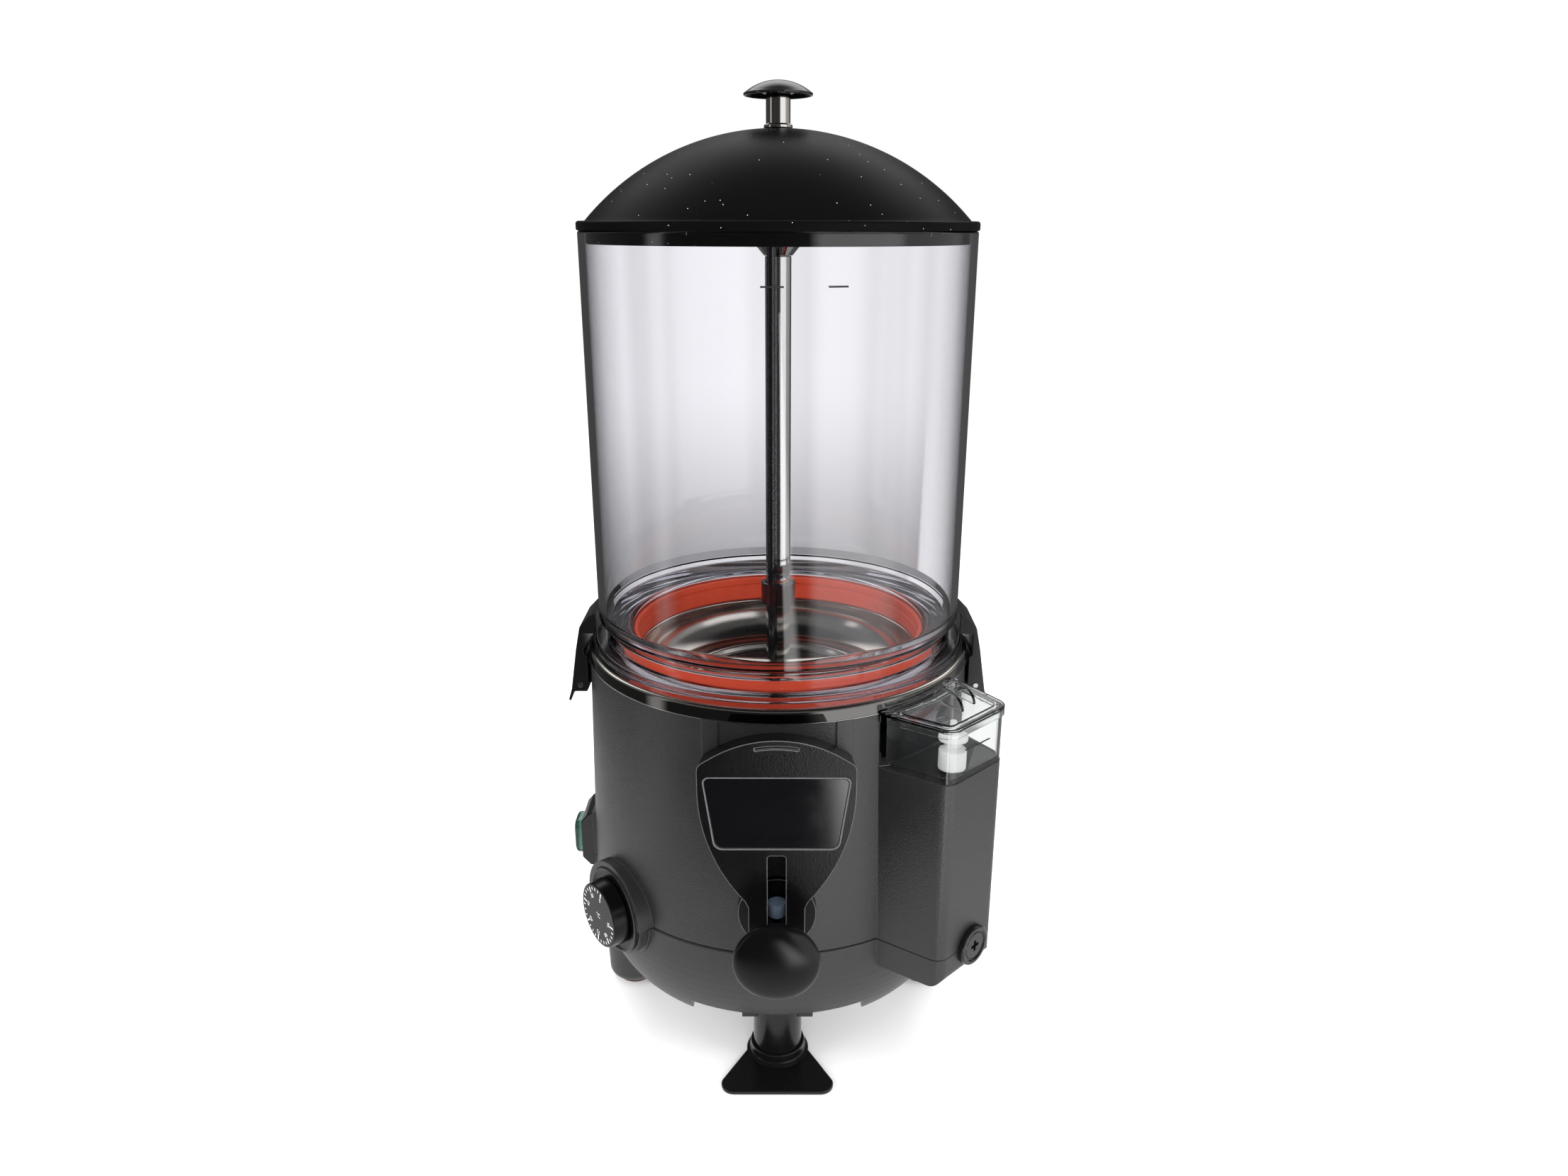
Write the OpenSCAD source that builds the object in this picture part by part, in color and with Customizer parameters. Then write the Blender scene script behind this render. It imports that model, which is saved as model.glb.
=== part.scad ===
// Hot chocolate dispenser: a clear bowl over a heated basin, with a mixer and a tap.
// Millimetres, +Z up, front towards -Y, standing on z = 0.
// The vessel axis is the common axis of lid, bowl, basin, column and housings.

/* [Lower pan] */
// Height of the underside above the counter
ground_gap = 40; // [36:1:46]
// Height of the lower pan, up to the seam
pan_h = 68; // [66:1:72]
// Height of the rounded part of the pan
pan_round_h = 55; // [50:1:58]
// Radius of the pan's bottom edge
pan_foot_r = 92; // [90:0.5:94]
// Radius of the body at the seam
seam_r = 123.5; // [122:0.5:126]
// Wall of the moulded housings
housing_wall = 3; // [2.4:0.2:3.4]
// Half the width of the front cut-out in the pan's edge
edge_cut_half_w = 53; // [40:1:56]
// Height of the front cut-out at the pan's edge
edge_cut_h = 3.5; // [2:0.5:4]
// Rise of the cut-out's roof per millimetre outwards
edge_cut_slope = 0.67; // [0.5:0.01:0.7]
// Width of the dark seam between pan and shell
seam_gap = 0.6; // [0.3:0.1:1]

/* [Upper shell] */
// Height of the upper shell
shell_h = 146; // [142:1:150]
// Radius of the shell at its top
shell_top_r = 120; // [119:0.5:121.5]
// Inner edge of a raised strip beside the tap
strip_in = 33; // [31:0.5:35]
// Width of a raised strip
strip_w = 9; // [7:0.5:11]
// Height of a raised strip, down from the shell's top
strip_h = 50; // [40:1:60]
// How far a strip stands out
strip_out = 1; // [0.6:0.1:1.6]

/* [Basin] */
// Height of the steel rim band above the shell
rim_h = 8.2; // [7:0.2:10]
// Thickness of the sheet steel
sheet = 1.2; // [0.8:0.1:1.5]
// Inner radius of the basin's upright throat
throat_r = 100; // [99:0.5:101]
// Depth of the gasket ledge below the rim
ledge_drop = 5.6; // [5:0.2:6.4]
// Radius of the basin's mouth inside the ledge
mouth_r = 88; // [87:0.5:89]
// Depth of the basin's inner floor below the rim
floor_drop = 33.6; // [31:0.2:36]
// Radius of the step round the inner floor
step_r = 62.5; // [58:0.5:66]
// Depth of the inner floor below the step
step_h = 4; // [3:0.5:5]

/* [Bowl] */
// Height of the bowl
bowl_h = 247.5; // [230:0.5:260]
// Height of the bowl's stepped base
bowl_base_h = 19.3; // [18.5:0.1:21]
// Outer radius of the bowl at its top
bowl_top_r = 114.3; // [113.8:0.1:115]
// Outer radius of the bowl above its base
bowl_low_r = 113.5; // [112.5:0.1:114]
// Wall of the bowl
bowl_wall = 4; // [3:0.2:4.4]
// Outer radius of the bowl's flange
flange_r = 118.5; // [117.5:0.1:119]
// Outer radius of the neck between flange and bowl
neck_r = 107.5; // [106.5:0.5:108.5]
// Inner radius of the bowl's bottom lip
lip_r = 92.5; // [92:0.1:93]
// Thickness of the bottom lip
lip_t = 3.5; // [3:0.1:3.8]

/* [Gasket] */
// Inner radius of the gasket
gasket_r = 89.5; // [89:0.1:90]
// Outer radius of the gasket
gasket_out_r = 98.8; // [98:0.1:99.2]
// Height of the gasket
gasket_h = 15.4; // [14:0.2:16]
// Height of the gasket's solid foot
gasket_foot_h = 3.4; // [2:0.2:4]

/* [Lid] */
// Outer radius of the lid's bead
bead_r = 114.9; // [114:0.1:116]
// Height of the lid's bead
bead_h = 5.2; // [4:0.2:6]
// Radius of the dome at the bead
dome_r = 110; // [108:0.5:111]
// Rise of the dome above the bead
dome_rise = 49.3; // [40:0.5:56]
// Thickness of the lid
lid_t = 2.5; // [2:0.1:3]
// Depth of the skirt inside the bowl
skirt_h = 7; // [5:0.5:10]
// Radius of the lid's knob
knob_r = 19.4; // [16:0.2:24]
// Height of the knob's mushroom cap
knob_cap_h = 7; // [5:0.5:9]
// Radius of the knob's steel stem
stem_r = 6.9; // [5:0.1:8]
// Length of the stem above the dome
stem_h = 18; // [14:0.5:24]
// Radius of the screw that holds the knob
knob_screw_r = 2.5; // [2:0.1:3]

/* [Mixer] */
// Outer radius of the steel column
column_r = 7.7; // [7.2:0.1:8.2]
// Wall of the column
column_wall = 1; // [0.8:0.1:1.2]
// Height of the column's end above the counter
column_top_z = 496; // [480:0.5:498]
// Radius of the drive shaft
shaft_r = 4; // [3.5:0.1:4.5]
// Radial clearance of a running fit
fit = 0.05; // [0.03:0.01:0.1]
// Radius of the mixer head
head_r = 16.4; // [16:0.1:17]
// Height of the mixer head
head_h = 8.5; // [7:0.5:10]
// Height of the steel cone under the head
cone_h = 6; // [5:0.5:7]
// Radius of the mixer rod
rod_r = 2.6; // [2.2:0.1:2.8]
// Distance of the rod from the vessel axis
rod_reach = 11.5; // [11.2:0.1:12]
// Turn of the rod from the front
rod_angle = -20; // [-40:1:10]
// Outer radius of the guide ring
guide_r = 10.8; // [10:0.1:11.5]
// Height of the guide ring
guide_h = 14; // [10:0.5:18]
// Height of the guide ring's lower edge
guide_z = 284.5; // [270:0.5:300]
// Reach of a paddle blade
paddle_reach = 54; // [45:0.5:56]
// Height of a paddle blade
paddle_h = 6; // [4:0.5:8]
// Thickness of a paddle blade
paddle_t = 2.5; // [2:0.1:3.5]

/* [Level box] */
// Turn of the box from the front, towards the right
box_angle = 44.8; // [43:0.2:47]
// Distance of the box's outer face from the vessel axis
box_reach = 159.8; // [156:0.2:163]
// Half the width of the outer face
box_out_half_w = 25.6; // [24:0.2:27]
// Half the width where the box meets the shell
box_in_half_w = 33.8; // [32:0.2:35]
// Radius of the box's outer corners
box_corner_r = 8; // [6:0.5:9]
// Height of the black box above the seam
box_h = 113.4; // [108:0.2:118]
// Depth of the box below the seam
box_below_h = 18.5; // [16:0.5:20]
// Height of the clear box
clear_h = 34.4; // [31:0.2:36]
// Wall of the clear box
clear_wall = 2; // [1.6:0.1:2.4]
// Thickness of the clear lid
clear_lid_t = 2.4; // [2:0.1:3]
// Length of a grip fin
fin_len = 20; // [16:0.5:24]
// Height of a grip fin
fin_h = 9; // [6:0.5:11]
// Distance between the two fins
fin_space = 13; // [10:0.5:15]
// Radius of the float
float_r = 7.2; // [6:0.1:7.5]
// Height of the float
float_h = 21; // [17:0.5:22]
// Radius of the float's cap
float_cap_r = 7.6; // [7:0.1:8]
// Sideways place of the float's post
float_side = -10.5; // [-12:0.5:-8]
// Gap between the float's cap and the clear wall in front of it
float_gap = 0.8; // [0.6:0.1:2]
// Radius of the water pipes
pipe_r = 5; // [4:0.1:5.2]
// Radius of the drain plug's flange
plug_r = 12.4; // [11:0.1:13]
// How far the plug stands out
plug_out = 3.6; // [3:0.2:5]
// Sideways place of the plug on the outer face
plug_side = 3.6; // [0:0.2:6]
// Height of the plug's centre
plug_z = 107; // [104:0.5:108]

/* [Latches] */
// Width of a latch
latch_w = 36; // [30:1:42]
// Distance of the latch pin from the vessel axis
latch_pin_reach = 126.3; // [126:0.1:127]
// Height of the latch pin below the rim
latch_pin_drop = 28.5; // [26:0.5:30]
// Radius of the latch pin
latch_pin_r = 1.6; // [1.4:0.1:1.8]
// Width of the lug that carries the pin
lug_w = 16; // [12:0.5:18]

/* [Tap] */
// Distance of the cover's face from the vessel axis
cover_reach = 150; // [148:0.5:152]
// Half the width of the cover
cover_half_w = 42.3; // [40:0.1:44]
// Height of the cover's arched top above the shell's top
cover_over = 5; // [3:0.5:6]
// Height of the cover's bottom edge
cover_bottom_z = 130; // [128:0.5:133]
// Half the width of the cover's lower part
cover_low_half_w = 15.6; // [15:0.1:17]
// Wall of the cover
cover_wall = 2.5; // [2:0.1:2.8]
// Fall of the cover's sides and top towards the back, in degrees
cover_slope = 18; // [10:1:22]
// Half the width of the lever slot
slot_half_w = 5; // [4.8:0.1:5.6]
// Height of the slot's top
slot_top_z = 190.5; // [180:0.5:194]
// Depth of the glossy panel's pocket
panel_depth = 1.2; // [0.8:0.1:1.5]
// Radius of the tap's barrel
barrel_r = 22.4; // [21.5:0.1:23]
// Height of the barrel's centre
barrel_z = 138; // [137:0.5:139]
// Outer radius of the valve tube
valve_r = 10.2; // [9.8:0.1:10.3]
// Radius of the valve tube's bore
valve_bore_r = 7.8; // [7.2:0.1:8]
// Height of the spout's end
spout_z = 100; // [96:0.5:103]
// Height of the valve tube's top
valve_top_z = 136; // [135:0.5:136.5]
// Radius of the passage into the valve tube
port_r = 3.5; // [3:0.1:3.8]
// Height of the passage's centre
port_z = 117; // [116.5:0.1:117.5]
// Radius of the steel valve rod
valve_rod_r = 1.8; // [1.5:0.1:2]
// Height of the lever pin
lever_z = 141; // [140.8:0.1:141.4]
// Radius of the lever pin
lever_pin_r = 2; // [1.6:0.1:2.1]
// Radius of the lever's rod
lever_rod_r = 3; // [2.4:0.1:3.4]
// Radius of the lever's knob
lever_knob_r = 23.5; // [20:0.5:25]
// Depth of the lever's knob from back to front
lever_knob_h = 14; // [11:0.5:16]
// Distance of the knob's back from the vessel axis
lever_knob_reach = 167; // [165:0.5:170]
// Radius of the bluish collar
collar_r = 5; // [4.4:0.1:5.2]
// Height of the bluish collar
collar_h = 8; // [6:0.5:9]

/* [Thermostat] */
// Turn of the dial from the front, towards the left
dial_angle = 52.2; // [50:0.2:55]
// Height of the dial's centre
dial_z = 108.4; // [107:0.2:110]
// Outer radius of the dial's collar
dial_collar_r = 31; // [30:0.5:33]
// How far the collar stands out past the seam
dial_collar_out = 5.8; // [5:0.1:7]
// Radius of the plate in the collar
dial_plate_r = 27.1; // [26:0.1:28]
// Radius of the dial knob
dial_r = 20; // [18:0.5:22]
// Height of the dial knob above its plate
dial_knob_h = 9.5; // [8:0.5:12]
// Radius of the thermostat's shaft
dial_shaft_r = 3; // [2.5:0.1:3.2]

/* [Switch] */
// Height of the switch's centre
switch_z = 116.6; // [115:0.2:118]
// Reach of the switch housing above its centre
switch_up = 23.2; // [21:0.2:25]
// Reach of the switch housing below its centre
switch_down = 17.2; // [16:0.2:19]
// Width of the switch housing
switch_w = 30; // [26:0.5:33]
// How far the housing stands out past the seam
switch_out = 9.1; // [8:0.1:10]
// Depth of the clear cap over the rocker
switch_cap_h = 5.8; // [5:0.2:7]
// Height of the rocker
rocker_h = 20.6; // [19:0.2:22]
// Width of the rocker
rocker_w = 14.6; // [13:0.2:16]

/* [Legs] */
// Distance of the front leg from the vessel axis
front_leg_reach = 77; // [76:0.5:78]
// Radius of the front leg
front_leg_r = 15.5; // [14:0.5:16]
// Thickness of the foot plate
plate_t = 3; // [2.5:0.1:4]
// Distance of the plate's front edge from the vessel axis
plate_reach = 117; // [112:0.5:122]
// Half the width of the plate's front
plate_half_w = 35; // [30:0.5:40]
// Distance of a side leg from the vessel axis
side_leg_reach = 102.6; // [100:0.2:104]
// How far the side legs sit behind the vessel axis
side_leg_back = 2; // [0:0.5:6]
// Distance of the rear leg from the vessel axis
rear_leg_reach = 92; // [88:0.5:96]
// Radius of a side or rear leg
leg_r = 18; // [16:0.5:19]
// Height of a rubber foot
rubber_h = 2.6; // [2:0.1:4]

/* [Drive and heating] */
// Radius of the water jacket
jacket_r = 104; // [103.5:0.1:104.6]
// Depth of the jacket's floor below the rim
jacket_drop = 62; // [56:0.5:66]
// Radius of the heating ring
heater_ring_r = 72; // [60:0.5:80]
// Radius of the heating tube
heater_tube_r = 4; // [3.5:0.1:4.5]
// Radius of the gear case
gear_case_r = 32; // [28:0.5:34]
// Height of the gear case
gear_case_h = 26; // [22:0.5:30]
// Radius of the motor
motor_r = 22; // [18:0.5:26]
// Height of the motor
motor_h = 52; // [45:0.5:56]
// Distance of the outlet pipe from the vessel axis
outlet_reach = 50; // [46:0.5:54]

/* [Hidden] */

$fn = 96;
// Spare length by which a cutting solid passes the face that it cuts
cut = 1;
// Gap between a fixed piece and a curved neighbour
loose = 0.3;

seam_z = ground_gap + pan_h;
shell_top_z = seam_z + shell_h;
rim_z = shell_top_z + rim_h;
ledge_z = rim_z - ledge_drop;
floor_z = rim_z - floor_drop;
flange_z = rim_z + loose;
bowl_step_z = flange_z + bowl_base_h;
bowl_top_z = flange_z + bowl_h;
bead_z = bowl_top_z;
bead_top_z = bead_z + bead_h;
dome_top_z = bead_top_z + dome_rise;
knob_rim_z = dome_top_z + stem_h;
gasket_top_z = ledge_z + gasket_h;
flange_top_z = flange_z + 5.7;
jacket_floor_z = rim_z - jacket_drop;
pan_round_z = ground_gap + pan_round_h;
latch_pin_z = rim_z - latch_pin_drop;
box_top_z = seam_z + box_h;
box_bottom_z = seam_z - box_below_h;
clear_top_z = box_top_z + clear_h;
cover_top_z = shell_top_z + cover_over;
valve_y = -(cover_reach - 16);
lever_pin_y = -(cover_reach - 5.5);
lever_half_w = slot_half_w - 0.4;
cone_z = column_top_z + loose;
head_z = cone_z + cone_h;
gear_case_top_z = jacket_floor_z - 24;
gear_case_z = gear_case_top_z - gear_case_h;
shaft_bottom_z = gear_case_top_z - 14;
motor_plate_t = 3;
coupling_z = gear_case_top_z + motor_plate_t + 0.5;
cover_t = 2;
cover_z = ground_gap + 1.6;
pan_ledge_z = cover_z + cover_t;
pan_floor_t = 3;
pan_floor_top_z = pan_ledge_z + pan_floor_t;
pan_opening_r = 58;
leg_socket_z = pan_ledge_z + 1;
switch_pad_out = seam_r + 0.7;
switch_reach = seam_r + switch_out;
switch_turn = -90;
gland_z = 76;
gland_out = 7;
gland_flange_r = 10.5;

// The footprint is centred on the origin, so the vessel axis sits back from it
front_reach = lever_knob_reach + lever_knob_h;
back_reach = seam_r + gland_out;
vessel_y = (front_reach - back_reach) / 2;

// Points of an arc about (cx, cy), from angle a0 to a1 in n steps
function arc(cx, cy, r, a0, a1, n = 12) =
    [for (i = [0:n]) let (a = a0 + (a1 - a0) * i / n) [cx + r * cos(a), cy + r * sin(a)]];

// Outer radius of the shell and of the pan at height z
function shell_at(z) = seam_r + (shell_top_r - seam_r) * (z - seam_z) / shell_h;
function pan_curve(inset = 0, n = 14) =
    [for (i = [0:n]) let (a = 90 * i / n)
        [pan_foot_r + (seam_r - pan_foot_r) * cos(a) - inset * cos(a * 0.6),
         pan_round_z - pan_round_h * sin(a) + inset * sin(a * 0.6)]];

// Mirror image of a list of points across x = 0, in reverse order
function mirrored(points) =
    [for (i = [len(points) - 1:-1:0]) [-points[i][0], points[i][1]]];

module at_vessel() {
    translate([0, vessel_y, 0]) children();
}

// Local +Z points outwards from the vessel axis, local +Y points up
module outward(turn, z) {
    rotate([0, 0, turn]) translate([0, 0, z]) rotate([90, 0, 0]) children();
}

module ring(outer, inner, z, h) {
    translate([0, 0, z]) difference() {
        cylinder(h = h, r = outer);
        translate([0, 0, -cut]) cylinder(h = h + 2 * cut, r = inner);
    }
}

// Block between two corners
module block(a, b) {
    translate(a) cube(b - a);
}

module above(z) {
    block([-300, -300, z], [300, 300, 700]);
}

// ---- Lid ----

dome_sphere_r = (dome_r * dome_r + dome_rise * dome_rise) / (2 * dome_rise);
dome_half_angle = asin(dome_r / dome_sphere_r);
dome_centre_z = dome_top_z - dome_sphere_r;
skirt_r = bowl_top_r - bowl_wall - 0.5;

module lid_dome() {
    at_vessel() color("#1b1b1d") difference() {
        rotate_extrude() polygon(concat(
            arc(0, dome_centre_z, dome_sphere_r, 90, 90 - dome_half_angle, 14),
            [[bead_r - 1.2, bead_top_z], [bead_r, bead_top_z - 1.4], [bead_r, bead_z + 1.2],
             [bead_r - 0.8, bead_z], [skirt_r, bead_z], [skirt_r, bead_z - skirt_h],
             [skirt_r - lid_t, bead_z - skirt_h], [skirt_r - lid_t, bead_z]],
            arc(0, dome_centre_z, dome_sphere_r - lid_t, 90 - dome_half_angle, 90, 14)));
        translate([0, 0, dome_top_z - 2 * lid_t]) cylinder(h = 4 * lid_t, r = knob_screw_r + 0.3);
    }
}

module lid_knob_stem() {
    at_vessel() color("#8c8884") difference() {
        union() {
            translate([0, 0, dome_top_z]) cylinder(h = stem_h, r = stem_r);
            translate([0, 0, dome_top_z]) cylinder(h = 2, r = stem_r + 1.2);
        }
        translate([0, 0, dome_top_z - cut]) cylinder(h = stem_h + 2 * cut, r = knob_screw_r + fit);
    }
}

module lid_knob() {
    cap_r = (knob_r * knob_r + knob_cap_h * knob_cap_h) / (2 * knob_cap_h);
    cap_angle = asin(knob_r / cap_r);
    top_z = knob_rim_z + knob_cap_h;
    at_vessel() color("#161618") difference() {
        rotate_extrude() polygon(concat(
            [[0, knob_rim_z], [stem_r + 2, knob_rim_z], [stem_r + 3, knob_rim_z + 2.6],
             [knob_r - 2.4, knob_rim_z + 0.6], [knob_r - 1, knob_rim_z - 1.2], [knob_r, knob_rim_z - 1.2]],
            arc(0, top_z - cap_r, cap_r, 90 - cap_angle, 90, 8)));
        translate([0, 0, knob_rim_z - cut])
            cylinder(h = knob_cap_h - 3 + cut, r = knob_screw_r + fit);
    }
}

module lid_knob_screw() {
    screw_top_z = knob_rim_z + knob_cap_h - 3.3;
    head_top_z = dome_top_z - lid_t - 0.2;
    at_vessel() color("#b8b8ba") {
        translate([0, 0, head_top_z]) cylinder(h = screw_top_z - head_top_z, r = knob_screw_r);
        translate([0, 0, head_top_z - 3]) cylinder(h = 3, r = knob_screw_r + 2.5);
    }
}

// ---- Bowl and gasket ----

module bowl() {
    lip_z = ledge_z + gasket_foot_h;
    floor_in_z = gasket_top_z + 3;
    inner_top_r = bowl_top_r - bowl_wall;
    inner_low_r = bowl_low_r - bowl_wall;
    web_r = neck_r - 5.5;
    web_z = gasket_top_z + loose + 1;
    at_vessel() color("#cfd4ea", 0.35) rotate_extrude() polygon([
        [bowl_top_r, bowl_top_z], [bowl_low_r, bowl_step_z], [bowl_low_r - 3, bowl_step_z - 0.8],
        [neck_r, bowl_step_z - 2.6], [neck_r, flange_z + 7], [neck_r + 1.2, flange_top_z],
        [flange_r - 2.4, flange_top_z], [flange_r - 2.4, flange_z + 3.4], [flange_r, flange_z + 3.4],
        [flange_r, flange_z], [web_r, flange_z], [web_r, web_z], [lip_r + lip_t, web_z],
        [lip_r + lip_t, lip_z], [lip_r, lip_z], [lip_r, floor_in_z], [lip_r + 11, floor_in_z + 6],
        [inner_low_r - 1.6, floor_in_z + 9.5], [inner_low_r, floor_in_z + 14],
        [inner_top_r, bowl_top_z]]);
}

module bowl_gasket() {
    slot_in_r = lip_r - 0.3;
    slot_out_r = lip_r + lip_t + 0.3;
    foot_z = ledge_z + gasket_foot_h;
    at_vessel() color("#d9452c") rotate_extrude() polygon([
        [gasket_r, ledge_z], [gasket_out_r - 1, ledge_z], [gasket_out_r, ledge_z + 1],
        [gasket_out_r, gasket_top_z - 1], [gasket_out_r - 1, gasket_top_z], [slot_out_r, gasket_top_z],
        [slot_out_r, foot_z], [slot_in_r, foot_z], [slot_in_r, gasket_top_z],
        [gasket_r + 0.8, gasket_top_z], [gasket_r, gasket_top_z - 0.8]]);
}

// ---- Basin, column and mixer ----

function basin_line(t) = concat(
    [[shell_top_r + 0.4 - t, shell_top_z], [shell_top_r + 0.4 - t, rim_z - t],
     [throat_r + t, rim_z - t], [throat_r + t, ledge_z - t]],
    [[mouth_r + t * 0.3, ledge_z - t]],
    arc(mouth_r - 24 + t * 0.3, ledge_z - 3, 24 + t * 0.7, 0, -62, 8),
    [[step_r + t * 0.5, floor_z + step_h - t], [step_r - 2 + t * 0.5, floor_z - t],
     [0, floor_z - t]]);

module basin() {
    top = basin_line(0);
    under = basin_line(sheet);
    at_vessel() color("#9c978f") difference() {
        rotate_extrude() polygon(concat(top, [for (i = [len(under) - 1:-1:0]) under[i]]));
        translate([0, 0, floor_z - 5]) cylinder(h = 10, r = column_r + fit);
        translate([0, -outlet_reach, floor_z - 5]) cylinder(h = 10, r = pipe_r + fit);
    }
}

module column_tube() {
    at_vessel() color("#a9a6a1")
        ring(column_r, column_r - column_wall, jacket_floor_z - 6, column_top_z - jacket_floor_z + 6);
}

module drive_shaft() {
    at_vessel() color("#8f8f92") translate([0, 0, shaft_bottom_z])
        cylinder(h = head_z + head_h - 2 - shaft_bottom_z, r = shaft_r);
}

module upper_bush() {
    bush_h = 14;
    at_vessel() color("#e6e2d6")
        ring(column_r - column_wall - 0.02, shaft_r + fit, column_top_z - bush_h, bush_h);
}

module lower_bush() {
    bush_h = 14;
    at_vessel() color("#e6e2d6")
        ring(column_r - column_wall - 0.02, shaft_r + fit, jacket_floor_z - 6, bush_h);
}

module shaft_coupling() {
    at_vessel() color("#77777a") ring(shaft_r + 5, shaft_r, coupling_z, 13.5);
}

module mixer_head() {
    at_vessel() color("#18181a") difference() {
        union() {
            translate([0, 0, head_z]) cylinder(h = head_h - 1.5, r = head_r);
            translate([0, 0, head_z + head_h - 1.5]) cylinder(h = 1.5, r1 = head_r, r2 = head_r - 1.5);
        }
        translate([0, 0, head_z - cut]) cylinder(h = head_h - 2 + cut, r = shaft_r);
        rod_place() translate([0, 0, head_z - cut]) cylinder(h = rod_socket + cut, r = rod_r);
    }
}

rod_socket = 4;

module rod_place() {
    rotate([0, 0, rod_angle]) translate([0, -rod_reach, 0]) children();
}

module mixer_cone() {
    at_vessel() color("#b0aca6") difference() {
        translate([0, 0, cone_z]) cylinder(h = cone_h, r1 = column_r + 0.6, r2 = head_r - 3);
        translate([0, 0, cone_z - cut]) cylinder(h = cone_h + 2 * cut, r = shaft_r);
        rod_place() translate([0, 0, cone_z - cut]) cylinder(h = cone_h + 2 * cut, r = rod_r + 0.1);
    }
}

module mixer_rod() {
    paddle_z = floor_z + 1;
    hub_r = guide_r + 0.6;
    at_vessel() color("#151517") difference() {
        union() {
            rod_place() translate([0, 0, paddle_z]) cylinder(h = head_z + rod_socket - paddle_z, r = rod_r);
            translate([0, 0, guide_z]) cylinder(h = guide_h, r = guide_r);
            translate([0, 0, paddle_z]) cylinder(h = paddle_h, r = hub_r);
            for (turn = [0, 180]) rotate([0, 0, turn + 12])
                block([guide_r - 2, -paddle_t / 2, paddle_z],
                    [paddle_reach, paddle_t / 2, paddle_z + paddle_h]);
        }
        translate([0, 0, paddle_z - cut]) cylinder(h = column_top_z - paddle_z, r = column_r + loose);
    }
}

// ---- Housings ----

// Outline of the level box in plan, front towards -Y, drawn inset by a wall
function box_plan(inset, back) =
    let (r = box_corner_r - inset * 0.8)
    let (half_out = box_out_half_w - inset, reach = box_reach - inset)
    let (lean = atan((box_in_half_w - box_out_half_w) / (box_reach - shell_top_r + 1)))
    let (cx = half_out - r * (1 - sin(lean)) / cos(lean), cy = -(reach - r))
    let (right = arc(cx, cy, r, -90, -lean, 6))
    let (end = right[6])
    let (back_x = end[0] + (-back - end[1]) * tan(lean))
    concat(right, [[back_x, -back], [-back_x, -back]], mirrored(right));

module box_solid(inset, back, z0, z1) {
    rotate([0, 0, box_angle]) translate([0, 0, z0]) linear_extrude(height = z1 - z0)
        polygon(box_plan(inset, back));
}

module shell_skin() {
    bottom_z = seam_z + seam_gap / 2;
    rotate_extrude() polygon([
        [seam_r - 0.5, bottom_z], [seam_r, bottom_z + 0.8], [shell_top_r, shell_top_z],
        [shell_top_r - housing_wall, shell_top_z], [seam_r - housing_wall, bottom_z + 2],
        [seam_r - housing_wall, bottom_z]]);
}

// Space inside the housings, from the pan's floor to the shell's top
module body_inside() {
    rotate_extrude() polygon(concat(
        [[0, shell_top_z + cut], [shell_top_r - housing_wall, shell_top_z + cut],
         [shell_top_r - housing_wall, shell_top_z], [seam_r - housing_wall, seam_z + 2]],
        [for (p = pan_curve(housing_wall)) if (p[1] > pan_floor_top_z) p],
        [[pan_foot_r + 2, pan_floor_top_z], [0, pan_floor_top_z]]));
}

module dial_collar() {
    outward(-dial_angle, dial_z) translate([0, 0, seam_r - 22])
        cylinder(h = dial_collar_out + 22, r = dial_collar_r);
}

plate_proud = 0.8;
plate_reach_out = seam_r + dial_collar_out + plate_proud;
plate_thick = 2.6;
dial_hole_r = 12;

// Lower half of the dial's collar, in two steps
module dial_step() {
    outward(-dial_angle, dial_z) translate([0, 0, seam_r - 22]) {
        cylinder(h = 21, r = dial_collar_r);
        cylinder(h = plate_reach_out - plate_thick - seam_r + 22, r = dial_plate_r + 1.6);
    }
}

module dial_cut() {
    outward(-dial_angle, dial_z) {
        translate([0, 0, plate_reach_out - plate_thick]) cylinder(h = 30, r = dial_plate_r + loose);
        translate([0, 0, seam_r / 2]) cylinder(h = seam_r, r = dial_hole_r);
    }
}

module switch_cut() {
    outward(switch_turn, switch_z)
        translate([0, 0, seam_r]) cube([rocker_w + 5.6, rocker_h + 5.6, 40], center = true);
}

module switch_pad() {
    pad_h = 10;
    outward(switch_turn, switch_z) block([-switch_w / 2 - 0.8, -switch_down - 0.6, switch_pad_out - pad_h],
        [switch_w / 2 + 0.8, switch_up + 0.6, switch_pad_out]);
}

module plug_hole(r) {
    rotate([0, 0, box_angle]) translate([plug_side, -box_reach + 30, plug_z])
        rotate([90, 0, 0]) cylinder(h = 60, r = r);
}

module tap_holes() {
    outward(0, barrel_z) translate([0, 0, seam_r - 30]) cylinder(h = 40, r = barrel_r + fit);
    outward(0, port_z) translate([0, 0, seam_r - 30]) cylinder(h = 40, r = port_r * 2 + loose);
}

module latch_lug(side) {
    depth = latch_pin_reach - shell_top_r + 2;
    scale([side, 1, 1]) translate([latch_pin_reach, 0, latch_pin_z]) difference() {
        union() {
            rotate([90, 0, 0]) translate([0, 0, -lug_w / 2]) cylinder(h = lug_w, r = latch_pin_r + 1.6);
            block([-depth, -lug_w / 2, -2.6], [0, lug_w / 2, 2.6]);
        }
        rotate([90, 0, 0]) translate([0, 0, -lug_w]) cylinder(h = 2 * lug_w, r = latch_pin_r + fit);
    }
}

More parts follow.
